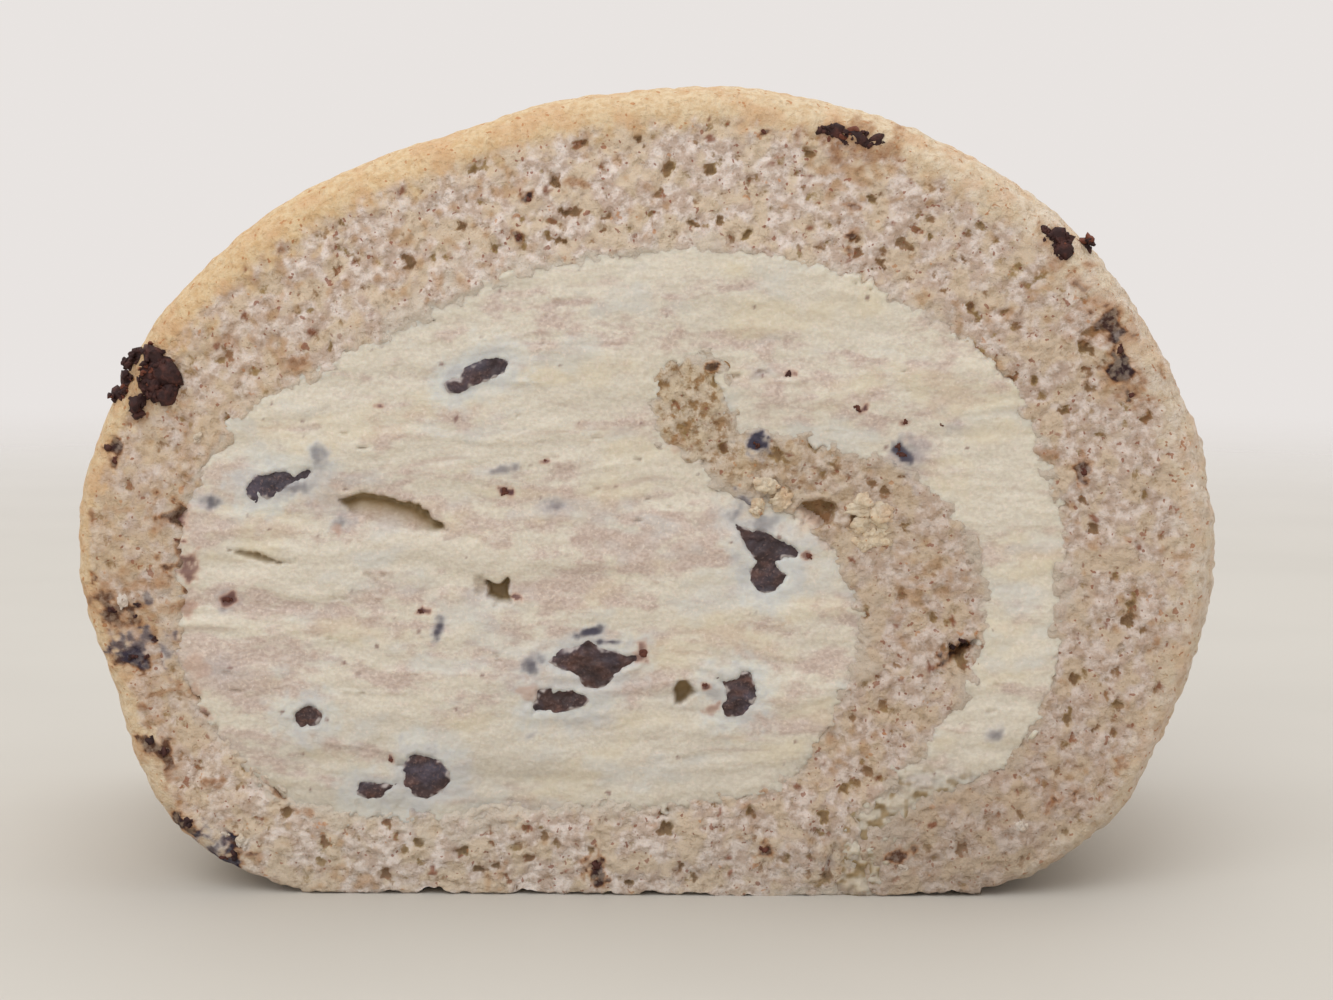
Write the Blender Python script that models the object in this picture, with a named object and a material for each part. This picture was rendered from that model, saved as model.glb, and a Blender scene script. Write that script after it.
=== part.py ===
"""Swiss roll cake: a thick slice that stands on its flattened underside.

One sponge sheet, with chocolate pieces in it, is rolled round a cream filling.
The two cut faces look to -Y and +Y, the roll's width is along X, and the base is at z = 0.
"""

import math

import bmesh
import bpy
from mathutils import Vector, noise

MM = 0.001

# ---- driving dimensions, in millimetres unless the name says otherwise ----

SLICE_DEPTH = 45.0        # between the two cut faces
STEP = 2.1                # spacing of points along the sheet
GAP = 0.3                 # between pieces that touch
CHUNK_GAP = 0.35          # round a piece of chocolate in its pocket

RIM_WIDTH = 2.6           # the skin curves in by this much at a cut
RIM_DEPTH = 4.2           # and starts to curve this far behind the cut
RIM_STEPS = 4
RIM_FOOT = (1.5, 9.0)     # heights over which the rim fades out towards the base
SWELL = 0.5               # the skin stands this much further out at mid-slice
SWELL_RINGS = 4
SKIN_UNEVENNESS = 0.35
FLAT_HEIGHT = 0.4         # the sheet's underside lies flat on the base wherever it is lower

# Stations along the middle of the sponge sheet, from its outer end at the seam, up the right
# side, over the top, down the left side, along the base and up into the middle of the roll.
# Each is (across, up, thickness of the sheet).
WRAP = (
    (19.9, 3.2, 6.2),
    (26.5, 4.9, 9.2),
    (33.2, 8.6, 10.6),
    (37.3, 16.0, 11.6),
    (39.5, 28.0, 12.7),
    (35.4, 41.8, 12.0),
    (24.3, 52.7, 12.4),
    (6.5, 58.4, 13.0),
    (-13.0, 55.9, 12.4),
    (-28.6, 48.4, 13.0),
    (-36.8, 41.4, 9.8),
    (-41.5, 29.5, 8.8),
    (-40.3, 17.6, 6.6),
    (-35.9, 8.6, 8.6),
    (-29.3, 4.2, 7.0),
    (-15.0, 3.3, 7.0),
    (4.0, 3.9, 8.2),
)
TAIL = (
    (11.2, 5.0, 9.0),
    (14.4, 8.4, 6.8),
    (17.6, 12.6, 8.2),
    (22.3, 20.6, 9.8),
    (19.6, 29.6, 10.2),
    (12.6, 34.2, 6.6),
    (6.2, 36.2, 4.6),
    (3.2, 39.6, 6.2),
    (3.2, 42.8, 5.6),
    (3.2, 44.0, 3.4),
)
SEAM_FOOT = 15.7          # across: where the tail leaves the base
SEAM_CLEAR_HEIGHT = 4.0   # the tail's outer side is followed from this height up
SHEET_END = ((19.2, 0.0), (19.7, 4.8))  # foot and shoulder of the sheet's outer end

# Pieces of chocolate: (name, across, up, width, height, tilt in degrees, depth)
CREAM_CHUNKS = (
    ("chunk_middle", -4.1, 19.1, 8.1, 3.9, 6.0, 5.0),
    ("chunk_middle_low", -7.3, 15.8, 5.3, 2.3, 4.0, 3.6),
    ("chunk_tail", 9.2, 28.3, 4.3, 7.4, 12.0, 4.6),
    ("chunk_upper", -13.2, 42.8, 5.2, 1.8, 22.0, 3.4),
    ("chunk_left", -29.8, 33.8, 6.2, 1.8, 14.0, 3.6),
    ("chunk_right", 7.4, 17.0, 3.5, 3.8, 0.0, 3.4),
    ("chunk_low", -17.7, 9.9, 3.7, 3.7, -20.0, 3.2),
    ("chunk_low_flat", -22.1, 8.8, 3.2, 1.4, 8.0, 2.8),
    ("chunk_low_left", -27.6, 14.7, 2.6, 1.9, 0.0, 2.6),
)
# The same for pieces baked into the skin, with how far each lies behind the cut.
SKIN_CHUNKS = (
    ("chunk_skin_left", -40.6, 42.2, 5.6, 5.4, 35.0, 5.0, 2.7),
    ("chunk_skin_top", 15.9, 61.0, 4.6, 2.2, -8.0, 3.4, 1.85),
    ("chunk_skin_right", 32.2, 53.2, 2.4, 3.2, -35.0, 3.0, 1.6),
)
CHUNK_RAGGEDNESS = 0.16   # of a chunk's own size


# ---- scene, collections and materials ----

def empty_scene():
    for item in list(bpy.data.objects):
        bpy.data.objects.remove(item, do_unlink=True)


def new_collection(name):
    collection = bpy.data.collections.new(name)
    bpy.context.scene.collection.children.link(collection)
    return collection


def new_material(name, colour, roughness):
    material = bpy.data.materials.new(name)
    material.use_nodes = True
    shader = material.node_tree.nodes["Principled BSDF"]
    shader.inputs["Base Color"].default_value = (*colour, 1.0)
    shader.inputs["Roughness"].default_value = roughness
    shader.inputs["Metallic"].default_value = 0.0
    return material


def new_object(name, mesh, collection):
    item = bpy.data.objects.new(name, mesh)
    collection.objects.link(item)
    return item


def as_guide(item):
    """Keeps a cutter out of the model."""
    item.hide_render = True
    item.display_type = "WIRE"
    return item


# ---- curves in the plane of the slice ----

def smooth_path(stations, step):
    """A centripetal Catmull-Rom curve through the stations, sampled about every step."""
    points = [Vector(station) for station in stations]
    first = points[0] * 2 - points[1]
    last = points[-1] * 2 - points[-2]
    points = [first, *points, last]
    path = []
    for p0, p1, p2, p3 in zip(points, points[1:], points[2:], points[3:]):
        t0 = 0.0
        t1 = t0 + math.sqrt((p1.xy - p0.xy).length)
        t2 = t1 + math.sqrt((p2.xy - p1.xy).length)
        t3 = t2 + math.sqrt((p3.xy - p2.xy).length)
        count = max(2, round((p2.xy - p1.xy).length / step))
        for i in range(count):
            t = t1 + (t2 - t1) * i / count
            a1 = p0.lerp(p1, (t - t0) / (t1 - t0))
            a2 = p1.lerp(p2, (t - t1) / (t2 - t1))
            a3 = p2.lerp(p3, (t - t2) / (t3 - t2))
            b1 = a1.lerp(a2, (t - t0) / (t2 - t0))
            b2 = a2.lerp(a3, (t - t1) / (t3 - t1))
            path.append(b1.lerp(b2, (t - t1) / (t2 - t1)))
    path.append(points[-2])
    return path


def sheet_sides(path):
    """The outer and the inner side of the sheet whose middle and thickness the path gives."""
    outer = []
    inner = []
    for i, point in enumerate(path):
        before = path[max(i - 1, 0)]
        after = path[min(i + 1, len(path) - 1)]
        along = (after.xy - before.xy).normalized()
        outward = Vector((along.y, -along.x))
        half = point.z / 2
        outside = point.xy + outward * half
        outer.append(Vector((outside.x, outside.y if outside.y > FLAT_HEIGHT else 0.0)))
        inner.append(point.xy - outward * half)
    return outer, inner


def corner_normals(loop):
    """Unit normals at the corners of an anticlockwise loop, pointing outwards."""
    normals = []
    for i, point in enumerate(loop):
        into = (point - loop[i - 1]).normalized()
        out = (loop[(i + 1) % len(loop)] - point).normalized()
        along = (into + out).normalized()
        normals.append(Vector((along.y, -along.x)))
    return normals


def moved_out(loop, distance):
    return [p + n * distance for p, n in zip(loop, corner_normals(loop))]


# ---- the two prisms that sponge and cream are made from ----

def roll_loops():
    """The whole roll's outline, and the outline of what the sheet encloses, anticlockwise."""
    path = smooth_path(WRAP + TAIL, STEP)
    outer, inner = sheet_sides(path)
    wrap_count = len(smooth_path(WRAP, STEP))
    outline = outer[:wrap_count]
    tail_side = [p for p in outer[wrap_count:] if p.y > SEAM_CLEAR_HEIGHT]
    below = Vector((0.0, -2.0))
    foot = Vector((SEAM_FOOT, 0.0))
    end_foot, end_shoulder = (Vector(corner) for corner in SHEET_END)
    enclosed = [end_foot + below, end_foot, end_shoulder, *inner[1:], *reversed(tail_side)]
    enclosed += [foot, foot + below]
    return outline, enclosed


def rim_width(height):
    low, high = RIM_FOOT
    share = min(max((height - low) / (high - low), 0.0), 1.0)
    return RIM_WIDTH * share * share * (3 - 2 * share)


def skin_sections():
    """(place along the slice, share of the rim's inset, share of the swell) for each section."""
    front = []
    for i in range(RIM_STEPS + 1):
        turn = math.pi / 2 * i / RIM_STEPS
        front.append((RIM_DEPTH * (1 - math.cos(turn)), 1 - math.sin(turn), 0.0))
    straight = SLICE_DEPTH - 2 * RIM_DEPTH
    middle = []
    for i in range(1, SWELL_RINGS + 1):
        share = i / (SWELL_RINGS + 1)
        middle.append((RIM_DEPTH + straight * share, 0.0, math.sin(math.pi * share)))
    back = [(SLICE_DEPTH - place, inset, swell) for place, inset, swell in reversed(front)]
    return front + middle + back


def roll_mesh(outline):
    """The whole roll: sections of the outline, drawn in towards both cuts."""
    normals = corner_normals(outline)
    bm = bmesh.new()
    rings = []
    for place, inset, swell in skin_sections():
        y = place - SLICE_DEPTH / 2
        ring = []
        for point, normal in zip(outline, normals):
            uneven = noise.noise(Vector((point.x, y, point.y)) * 0.11) * SKIN_UNEVENNESS
            out = swell * (SWELL + uneven) - inset * rim_width(point.y)
            moved = point + normal * (out if point.y > 0.0 else 0.0)
            ring.append(bm.verts.new((moved.x * MM, y * MM, max(moved.y, 0.0) * MM)))
        rings.append(ring)
    count = len(outline)
    for ring, following in zip(rings, rings[1:]):
        for i in range(count):
            j = (i + 1) % count
            bm.faces.new((ring[i], ring[j], following[j], following[i]))
    bm.faces.new(list(reversed(rings[0])))
    bm.faces.new(rings[-1])
    bmesh.ops.recalc_face_normals(bm, faces=bm.faces)
    mesh = bpy.data.meshes.new("roll")
    bm.to_mesh(mesh)
    bm.free()
    return mesh


def prism(name, loop, length, collection):
    """A flat outline in the XZ plane, extruded to both sides of y = 0."""
    curve = bpy.data.curves.new(name, "CURVE")
    curve.dimensions = "2D"
    curve.fill_mode = "BOTH"
    curve.extrude = length / 2 * MM
    spline = curve.splines.new("POLY")
    spline.points.add(len(loop) - 1)
    for slot, point in zip(spline.points, loop):
        slot.co = (point.x * MM, point.y * MM, 0.0, 1.0)
    spline.use_cyclic_u = True
    flat = new_object(name + "_outline", curve, collection)
    flat.rotation_euler = (math.pi / 2, 0.0, 0.0)
    bpy.context.view_layer.update()
    evaluated = flat.evaluated_get(bpy.context.evaluated_depsgraph_get())
    mesh = bpy.data.meshes.new_from_object(evaluated)
    bm = bmesh.new()
    bm.from_mesh(mesh)
    bmesh.ops.remove_doubles(bm, verts=bm.verts, dist=0.00001)
    bmesh.ops.recalc_face_normals(bm, faces=bm.faces)
    bm.to_mesh(mesh)
    bm.free()
    solid = new_object(name, mesh, collection)
    solid.matrix_world = flat.matrix_world.copy()
    bpy.data.objects.remove(flat, do_unlink=True)
    return solid


# ---- pieces of chocolate ----

def chunk_mesh(name, size, place, tilt, grow, front=None):
    """A broken lump of the given size, larger by grow all round, cut flat at y = front."""
    bm = bmesh.new()
    bmesh.ops.create_icosphere(bm, subdivisions=2, radius=1.0)
    seed = Vector(place) * 1.7
    for vert in bm.verts:
        ragged = 1 + CHUNK_RAGGEDNESS * noise.noise(vert.co * 1.6 + seed)
        lump = [vert.co[i] * ragged * size[i] / 2 for i in range(3)]
        wall = [vert.co[i] * grow for i in range(3)]
        turn = math.radians(tilt)
        x = lump[0] + wall[0]
        z = lump[2] + wall[2]
        vert.co = (
            (place[0] + x * math.cos(turn) - z * math.sin(turn)) * MM,
            (place[1] + lump[1] + wall[1]) * MM,
            (place[2] + x * math.sin(turn) + z * math.cos(turn)) * MM,
        )
    if front is not None:
        everything = bm.verts[:] + bm.edges[:] + bm.faces[:]
        cut = bmesh.ops.bisect_plane(
            bm, geom=everything, dist=0.00001, plane_co=(0.0, front * MM, 0.0),
            plane_no=(0.0, -1.0, 0.0), clear_outer=True,
        )
        rim = [item for item in cut["geom_cut"] if isinstance(item, bmesh.types.BMEdge)]
        bmesh.ops.edgenet_fill(bm, edges=rim)
    bmesh.ops.recalc_face_normals(bm, faces=bm.faces)
    mesh = bpy.data.meshes.new(name)
    bm.to_mesh(mesh)
    bm.free()
    return mesh


def add_chunks(parts, cream_pockets, skin_pockets, chocolate):
    front = -SLICE_DEPTH / 2
    for name, across, up, width, height, tilt, depth in CREAM_CHUNKS:
        size = (width, depth, height)
        place = (across, front + 0.15 * depth, up)
        chunk = new_object(name, chunk_mesh(name, size, place, tilt, 0.0, front), parts)
        chunk.data.materials.append(chocolate)
        pocket = chunk_mesh(name + "_pocket", size, place, tilt, CHUNK_GAP)
        as_guide(new_object(name + "_pocket", pocket, cream_pockets))
    for name, across, up, width, height, tilt, depth, behind in SKIN_CHUNKS:
        size = (width, depth, height)
        place = (across, front + behind, up)
        chunk = new_object(name, chunk_mesh(name, size, place, tilt, 0.0), parts)
        chunk.data.materials.append(chocolate)
        pocket = chunk_mesh(name + "_pocket", size, place, tilt, CHUNK_GAP)
        as_guide(new_object(name + "_pocket", pocket, skin_pockets))


# ---- sponge and cream ----

def cut_with(item, operation, other=None, collection=None):
    modifier = item.modifiers.new("cut", "BOOLEAN")
    modifier.operation = operation
    modifier.solver = "EXACT"
    if collection:
        modifier.operand_type = "COLLECTION"
        modifier.collection = collection
    else:
        modifier.object = other


def shade(item):
    item.data.shade_smooth()
    item.data.set_sharp_from_angle(angle=math.radians(40))


def build():
    empty_scene()
    parts = new_collection("swiss_roll_cake")
    cutters = new_collection("cutters")
    cream_pockets = new_collection("cream_pockets")
    skin_pockets = new_collection("skin_pockets")

    sponge_crumb = new_material("sponge", (0.66, 0.52, 0.40), 0.9)
    filling = new_material("cream", (0.74, 0.68, 0.56), 0.45)
    chocolate = new_material("chocolate", (0.045, 0.02, 0.016), 0.4)

    outline, enclosed = roll_loops()
    whole_roll = roll_mesh(outline)
    roll = as_guide(new_object("whole_roll", whole_roll, cutters))
    through = 2 * SLICE_DEPTH
    room = as_guide(prism("cream_room", enclosed, through, cutters))

    sponge = new_object("sponge", whole_roll.copy(), parts)
    sponge.data.materials.append(sponge_crumb)
    cut_with(sponge, "DIFFERENCE", other=room)
    cut_with(sponge, "DIFFERENCE", collection=skin_pockets)
    shade(sponge)

    cream = prism("cream", moved_out(enclosed, -GAP), through, parts)
    cream.data.materials.append(filling)
    cut_with(cream, "INTERSECT", other=roll)
    cut_with(cream, "DIFFERENCE", collection=cream_pockets)
    shade(cream)

    add_chunks(parts, cream_pockets, skin_pockets, chocolate)


build()
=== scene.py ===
import math

import bmesh
import bpy
import numpy as np
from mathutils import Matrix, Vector
from mathutils.bvhtree import BVHTree


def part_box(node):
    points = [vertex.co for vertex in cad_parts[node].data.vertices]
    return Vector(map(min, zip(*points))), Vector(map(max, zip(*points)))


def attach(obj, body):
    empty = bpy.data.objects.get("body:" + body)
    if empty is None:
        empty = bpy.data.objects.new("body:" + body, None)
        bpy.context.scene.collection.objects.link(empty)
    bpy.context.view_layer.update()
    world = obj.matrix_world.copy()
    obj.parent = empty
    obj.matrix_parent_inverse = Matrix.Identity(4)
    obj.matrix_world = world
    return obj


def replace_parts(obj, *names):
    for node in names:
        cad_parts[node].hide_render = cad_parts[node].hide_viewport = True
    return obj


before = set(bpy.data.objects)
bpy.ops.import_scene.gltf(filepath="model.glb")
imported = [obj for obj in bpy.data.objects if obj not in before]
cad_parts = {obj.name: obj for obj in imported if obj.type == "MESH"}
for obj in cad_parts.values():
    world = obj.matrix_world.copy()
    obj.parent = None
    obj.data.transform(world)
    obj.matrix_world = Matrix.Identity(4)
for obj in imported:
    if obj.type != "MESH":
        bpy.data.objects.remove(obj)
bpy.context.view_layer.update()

# A thick slice of swiss roll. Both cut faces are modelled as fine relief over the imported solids:
# crumb with its pores, cream dragged by the knife, and pieces of chocolate. All sizes are in
# millimetres unless a name says otherwise.

MM = 0.001
ROLL_LOW, ROLL_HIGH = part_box("sponge")
HALF_DEPTH = (ROLL_HIGH.y - ROLL_LOW.y) / 2 / MM
FRONT = -1
BACK = 1

# ---- the sponge sheet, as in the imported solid: (across, up, thickness) along its middle ----

WRAP = (
    (19.9, 3.2, 6.2),
    (26.5, 4.9, 9.2),
    (33.2, 8.6, 10.6),
    (37.3, 16.0, 11.6),
    (39.5, 28.0, 12.7),
    (35.4, 41.8, 12.0),
    (24.3, 52.7, 12.4),
    (6.5, 58.4, 13.0),
    (-13.0, 55.9, 12.4),
    (-28.6, 48.4, 13.0),
    (-36.8, 41.4, 9.8),
    (-41.5, 29.5, 8.8),
    (-40.3, 17.6, 6.6),
    (-35.9, 8.6, 8.6),
    (-29.3, 4.2, 7.0),
    (-15.0, 3.3, 7.0),
    (4.0, 3.9, 8.2),
)
TAIL = (
    (11.2, 5.0, 9.0),
    (14.4, 8.4, 6.8),
    (17.6, 12.6, 8.2),
    (22.3, 20.6, 9.8),
    (19.6, 29.6, 10.2),
    (12.6, 34.2, 6.6),
    (6.2, 36.2, 4.6),
    (3.2, 39.6, 6.2),
    (3.2, 42.8, 5.6),
    (3.2, 44.0, 3.4),
)
SEAM_FOOT = 15.7          # the tail leaves the base here
SEAM_LEAN = 0.33          # and its outer side leans out by this much for each mm of height
FLAT_HEIGHT = 0.4
# The next tables have a number for each station, and the last one holds for all stations after it

# Width of the golden skin that shows at a cut, in mm
RIM_WIDTHS = (
    0.3, 0.6, 2.0, 2.5, 2.8, 2.9, 3.0, 2.7, 2.8, 3.0, 2.7, 1.5, 1.7, 1.8, 0.5, 0.3, 0.3, 0.25,
)
# How golden the crumb itself is, and how warm the crust
CRUMB_TONES = (
    0.1, 0.05, 0.0, 0.0, 0.0, 0.0, 0.0, 0.0, 0.0, 0.05, 0.25, 0.5, 0.4, 0.25, 0.15, 0.0,
)
CRUST_WARMTHS = (
    0.2, 0.2, 0.25, 0.2, 0.15, 0.2, 0.45, 0.75, 0.95, 1.0, 0.95, 0.8, 0.7, 0.5, 0.3,
)
# How far painted shade darkens the crumb and its skin, and how full the roll bulges, in mm
PAINTED_SHADE_LEVELS = (
    0.42, 0.46, 0.42, 0.3, 0.22, 0.2, 0.12, 0.02, 0.0, 0.06, 0.16, 0.28, 0.3, 0.14, 0.06, 0.06, 0.14,
    0.2, 0.22, 0.25, 0.27, 0.27, 0.25, 0.2, 0.15,
)
FULLNESS = (
    0.0, 0.0, 0.1, 0.1, 0.25, 0.7, 0.9, 0.35, 0.15, 0.4, 0.4, 0.45, 0.1, 0.0,
)
RIM_DEPTH = 4.2           # the skin rolls in towards a cut over this depth behind it
RIM_WIDTH = 2.6           # and over less where the width that shows is smaller than this
SWELL = 0.5               # the skin stands this much further out at mid-slice
LAP = 0.8                 # the crumb reaches this far under the cream
SEAM_LAP = 2.4            # and the sheet's outer end this far beyond its first station
OVERLAP = 1.7             # the cream reaches this far under the edge of the sponge
TUCK = 0.55               # the sponge sinks this far where cream covers it
SLAB_DEPTH = 6.0          # how far behind a cut its finely modelled layer ends
BODY_LAP = 0.4            # the body between the two layers reaches this far into each
BODY_SINK = 0.12          # and its skin lies this far under theirs at its ends
CREAM_GAP = 0.05          # each cut's cream ends this far from mid-slice
CREAM_X = (-42.0, 40.0)   # the grid of the cream's points spans these places
CREAM_Z = (0.0, 56.0)

# Spacing of the points that carry the relief of each cut
SPONGE_STEPS = {FRONT: 0.21, BACK: 0.3}       # mm along the sheet
SPONGE_ACROSS = {FRONT: 56, BACK: 44}         # points across it
CREAM_STEPS = {FRONT: 0.17, BACK: 0.24}       # mm
CURVE_POINTS = 120        # on the sheet's curve between two stations
WALL_POINTS = 4           # down the sheet's hidden side behind a cut
BEND_POINTS = 10          # round the rim
SKIN_POINTS = 6           # and down the skin behind it
BODY_STEP = 0.45          # mm between the body's points along the sheet
BODY_POINTS = 84          # and this many across its skin, from cut to cut
INNER_POINTS = 6          # and on its hidden inner side
TAIL_SHARE = 4            # inside the roll only every fourth place along the sheet is kept
SHARP_CUT = 82            # degrees between faces that are still shaded as one, at a cut
SHARP_SKIN = 60           # and on the body

SPONGE_VALUES = ("pore_shade", "tag", "ochre", "speck", "smeared", "stain", "dusk")
CREAM_VALUES = ("mauve", "line", "yellow", "pale", "speck", "shade", "dusk", "stain", "painted_shade", "halo")
SKIN_SEED = 71


# ---- noise ----

# The noise's own axes, turned so that its cells never line up with the object
TURNED = np.array(((0.48, 0.60, -0.64), (-0.80, 0.60, 0.0), (0.36, 0.48, 0.80)))


def hashed(cell, seed):
    n = cell[..., 0] * 73856093 ^ cell[..., 1] * 19349663 ^ cell[..., 2] * 83492791 ^ seed * 961748927
    n = ((n ^ (n >> 13)) * 1274126177) & 0xFFFFFFFF
    n = ((n ^ (n >> 16)) * 668265263) & 0xFFFFFFFF
    return ((n >> 8) & 0xFFFF) / 65535


def noise3(points, size, seed):
    """Smooth noise from -1 to 1 at points in space, with features of the given size."""
    q = points @ TURNED / size
    cell = np.floor(q).astype(np.int64)
    f = q - cell
    f = f * f * f * (f * (f * 6 - 15) + 10)
    total = np.zeros(points.shape[:-1])
    for corner in np.ndindex(2, 2, 2):
        weight = np.ones(points.shape[:-1])
        for axis in range(3):
            weight = weight * (f[..., axis] if corner[axis] else 1 - f[..., axis])
        total += weight * hashed(cell + np.array(corner), seed)
    return total * 2 - 1


def smoothstep(low, high, value):
    t = np.clip((value - low) / (high - low), 0, 1)
    return t * t * (3 - 2 * t)


# ---- fields: values on a fine grid over the plane of a cut ----

FIELD_STEP = 0.1
FIELD_X = np.arange(-50.0, 50.0, FIELD_STEP)
FIELD_Z = np.arange(-2.0, 69.0, FIELD_STEP)
GRID_X, GRID_Z = np.meshgrid(FIELD_X, FIELD_Z)
FREQUENCY_X = np.fft.rfftfreq(GRID_X.shape[1], FIELD_STEP)[None, :]
FREQUENCY_Z = np.fft.fftfreq(GRID_X.shape[0], FIELD_STEP)[:, None]
COARSE = 4                # the distance to the cream's outline is found on every fourth point


def blank():
    """A field that is nought everywhere."""
    return np.zeros(GRID_X.shape)


def filtered(field, keep):
    return np.fft.irfft2(np.fft.rfft2(field) * keep, s=GRID_X.shape)


def cloud(rng, across, up=None):
    """Noise with unit spread, smoothed to features of the given size."""
    up = up or across
    keep = np.exp(-2 * (np.pi / 2) ** 2 * (
        (FREQUENCY_X * across / 2) ** 2 + (FREQUENCY_Z * up / 2) ** 2
    ))
    smooth = filtered(rng.standard_normal(GRID_X.shape), keep)
    return (smooth - smooth.mean()) / smooth.std()


def ragged_cloud(rng, large, small):
    """Noise that frays the border of a mark or of a hole."""
    return 0.8 * cloud(rng, large) + 0.55 * cloud(rng, small)


def broken_clouds(rng):
    """Noise for the relief of broken chocolate."""
    return {"fine": cloud(rng, 0.45), "middle": cloud(rng, 1.0), "broad": cloud(rng, 2.2)}


def blurred(field, size):
    keep = np.exp(-2 * (np.pi * size) ** 2 * (FREQUENCY_X * FREQUENCY_X + FREQUENCY_Z * FREQUENCY_Z))
    return filtered(field, keep)


def read(field, x, z, step=FIELD_STEP):
    """The field's value at any places, read between the grid's points."""
    column = np.clip((x - FIELD_X[0]) / step, 0, field.shape[1] - 1.001)
    row = np.clip((z - FIELD_Z[0]) / step, 0, field.shape[0] - 1.001)
    i = column.astype(int)
    j = row.astype(int)
    a = column - i
    b = row - j
    top = field[j + 1, i] * (1 - a) + field[j + 1, i + 1] * a
    bottom = field[j, i] * (1 - a) + field[j, i + 1] * a
    return bottom * (1 - b) + top * b


def window(x, z, radius):
    """The part of the grid round a place."""
    i0 = max(int((x - radius - FIELD_X[0]) / FIELD_STEP), 0)
    i1 = int((x + radius - FIELD_X[0]) / FIELD_STEP) + 2
    j0 = max(int((z - radius - FIELD_Z[0]) / FIELD_STEP), 0)
    j1 = int((z + radius - FIELD_Z[0]) / FIELD_STEP) + 2
    return slice(j0, j1), slice(i0, i1)


def bubbles(rng, density, smallest, largest):
    """Depth of the bubbles that a cut through foam opens, and a random value for each bubble."""
    depth = blank()
    tag = blank()
    count = int(density * (FIELD_X[-1] - FIELD_X[0]) * (FIELD_Z[-1] - FIELD_Z[0]))
    xs = rng.uniform(FIELD_X[0], FIELD_X[-1], count)
    zs = rng.uniform(FIELD_Z[0], FIELD_Z[-1], count)
    radii = smallest * (largest / smallest) ** rng.random(count)
    behind = rng.uniform(-0.5, 0.55, count) * radii
    turns = rng.uniform(0, np.pi, count)
    stretches = rng.uniform(1.0, 1.7, count)
    tags = rng.random(count)
    for x, z, radius, offset, turn, stretch, value in zip(
        xs, zs, radii, behind, turns, stretches, tags
    ):
        part = window(x, z, radius * stretch)
        dx = GRID_X[part] - x
        dz = GRID_Z[part] - z
        along = (dx * np.cos(turn) + dz * np.sin(turn)) / stretch
        side = -dx * np.sin(turn) + dz * np.cos(turn)
        inside = radius * radius - along * along - side * side
        dug = np.where(inside > 0, np.sqrt(np.maximum(inside, 0)) + offset, 0)
        deeper = dug > depth[part]
        depth[part] = np.where(deeper, dug, depth[part])
        tag[part] = np.where(deeper, value, tag[part])
    return depth, tag


def warped(field, shift_x, shift_z):
    return read(field, GRID_X + shift_x, GRID_Z + shift_z)


def polygon_distance(starts, ends, x, z):
    """Distance to the nearest segment, positive inside the closed outline that they make."""
    nearest = np.full(x.shape, 1e9)
    inside = np.zeros(x.shape, bool)
    for (ax, az), (bx, bz) in zip(starts, ends):
        dx = bx - ax
        dz = bz - az
        t = np.clip(((x - ax) * dx + (z - az) * dz) / max(dx * dx + dz * dz, 1e-12), 0, 1)
        nearest = np.minimum(nearest, (x - ax - t * dx) ** 2 + (z - az - t * dz) ** 2)
        if az != bz:
            crosses = (az > z) != (bz > z)
            inside ^= crosses & (x < ax + (z - az) * dx / dz)
    return np.sqrt(nearest) * np.where(inside, 1, -1)


def outline_distance(points, x, z):
    return polygon_distance(points, points[1:] + points[:1], x, z)


def extent(outline):
    xs, zs = zip(*outline)
    return min(xs), max(xs), min(zs), max(zs)


def outline_window(outline, margin):
    """The part of the grid round an outline."""
    left, right, bottom, top = extent(outline)
    radius = max(right - left, top - bottom) / 2 + margin
    return window((right + left) / 2, (top + bottom) / 2, radius)


# ---- meshes ----

def linked(name, data):
    """A new object in the scene that shows the data."""
    item = bpy.data.objects.new(name, data)
    bpy.context.scene.collection.objects.link(item)
    return item


def new_piece(name, verts, faces, material, values):
    """A piece of the object from points in mm; values are named numbers at its points."""
    mesh = bpy.data.meshes.new(name)
    mesh.from_pydata((np.asarray(verts) * MM).tolist(), [], faces)
    for value_name, numbers in values.items():
        attribute = mesh.attributes.new(value_name, "FLOAT", "POINT")
        attribute.data.foreach_set("value", np.asarray(numbers, np.float32).ravel())
    mesh.shade_smooth()
    mesh.materials.append(material)
    mesh.validate()
    piece = linked(name, mesh)
    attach(piece, "root")
    return piece


def swept_faces(rows, columns, flip):
    """Faces of a closed section swept along rows, with both ends capped."""
    first = np.arange(rows - 1)[:, None] * columns
    here = np.arange(columns)[None, :]
    following = (here + 1) % columns
    quads = np.stack(
        [first + here, first + following, first + columns + following, first + columns + here],
        axis=-1,
    ).reshape(-1, 4)
    start = list(range(columns))[::-1]
    end = [(rows - 1) * columns + i for i in range(columns)]
    if flip:
        quads = quads[:, ::-1]
        start = start[::-1]
        end = end[::-1]
    return quads.tolist() + [start, end]


def edge_loops(edges):
    """The closed loops that directed edges make; edges is emptied on the way."""
    while edges:
        loop = [min(edges)]
        while True:
            ends = edges[loop[-1]]
            step = ends.pop(0)
            if not ends:
                del edges[loop[-1]]
            if step == loop[0]:
                break
            loop.append(step)
        yield loop


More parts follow.
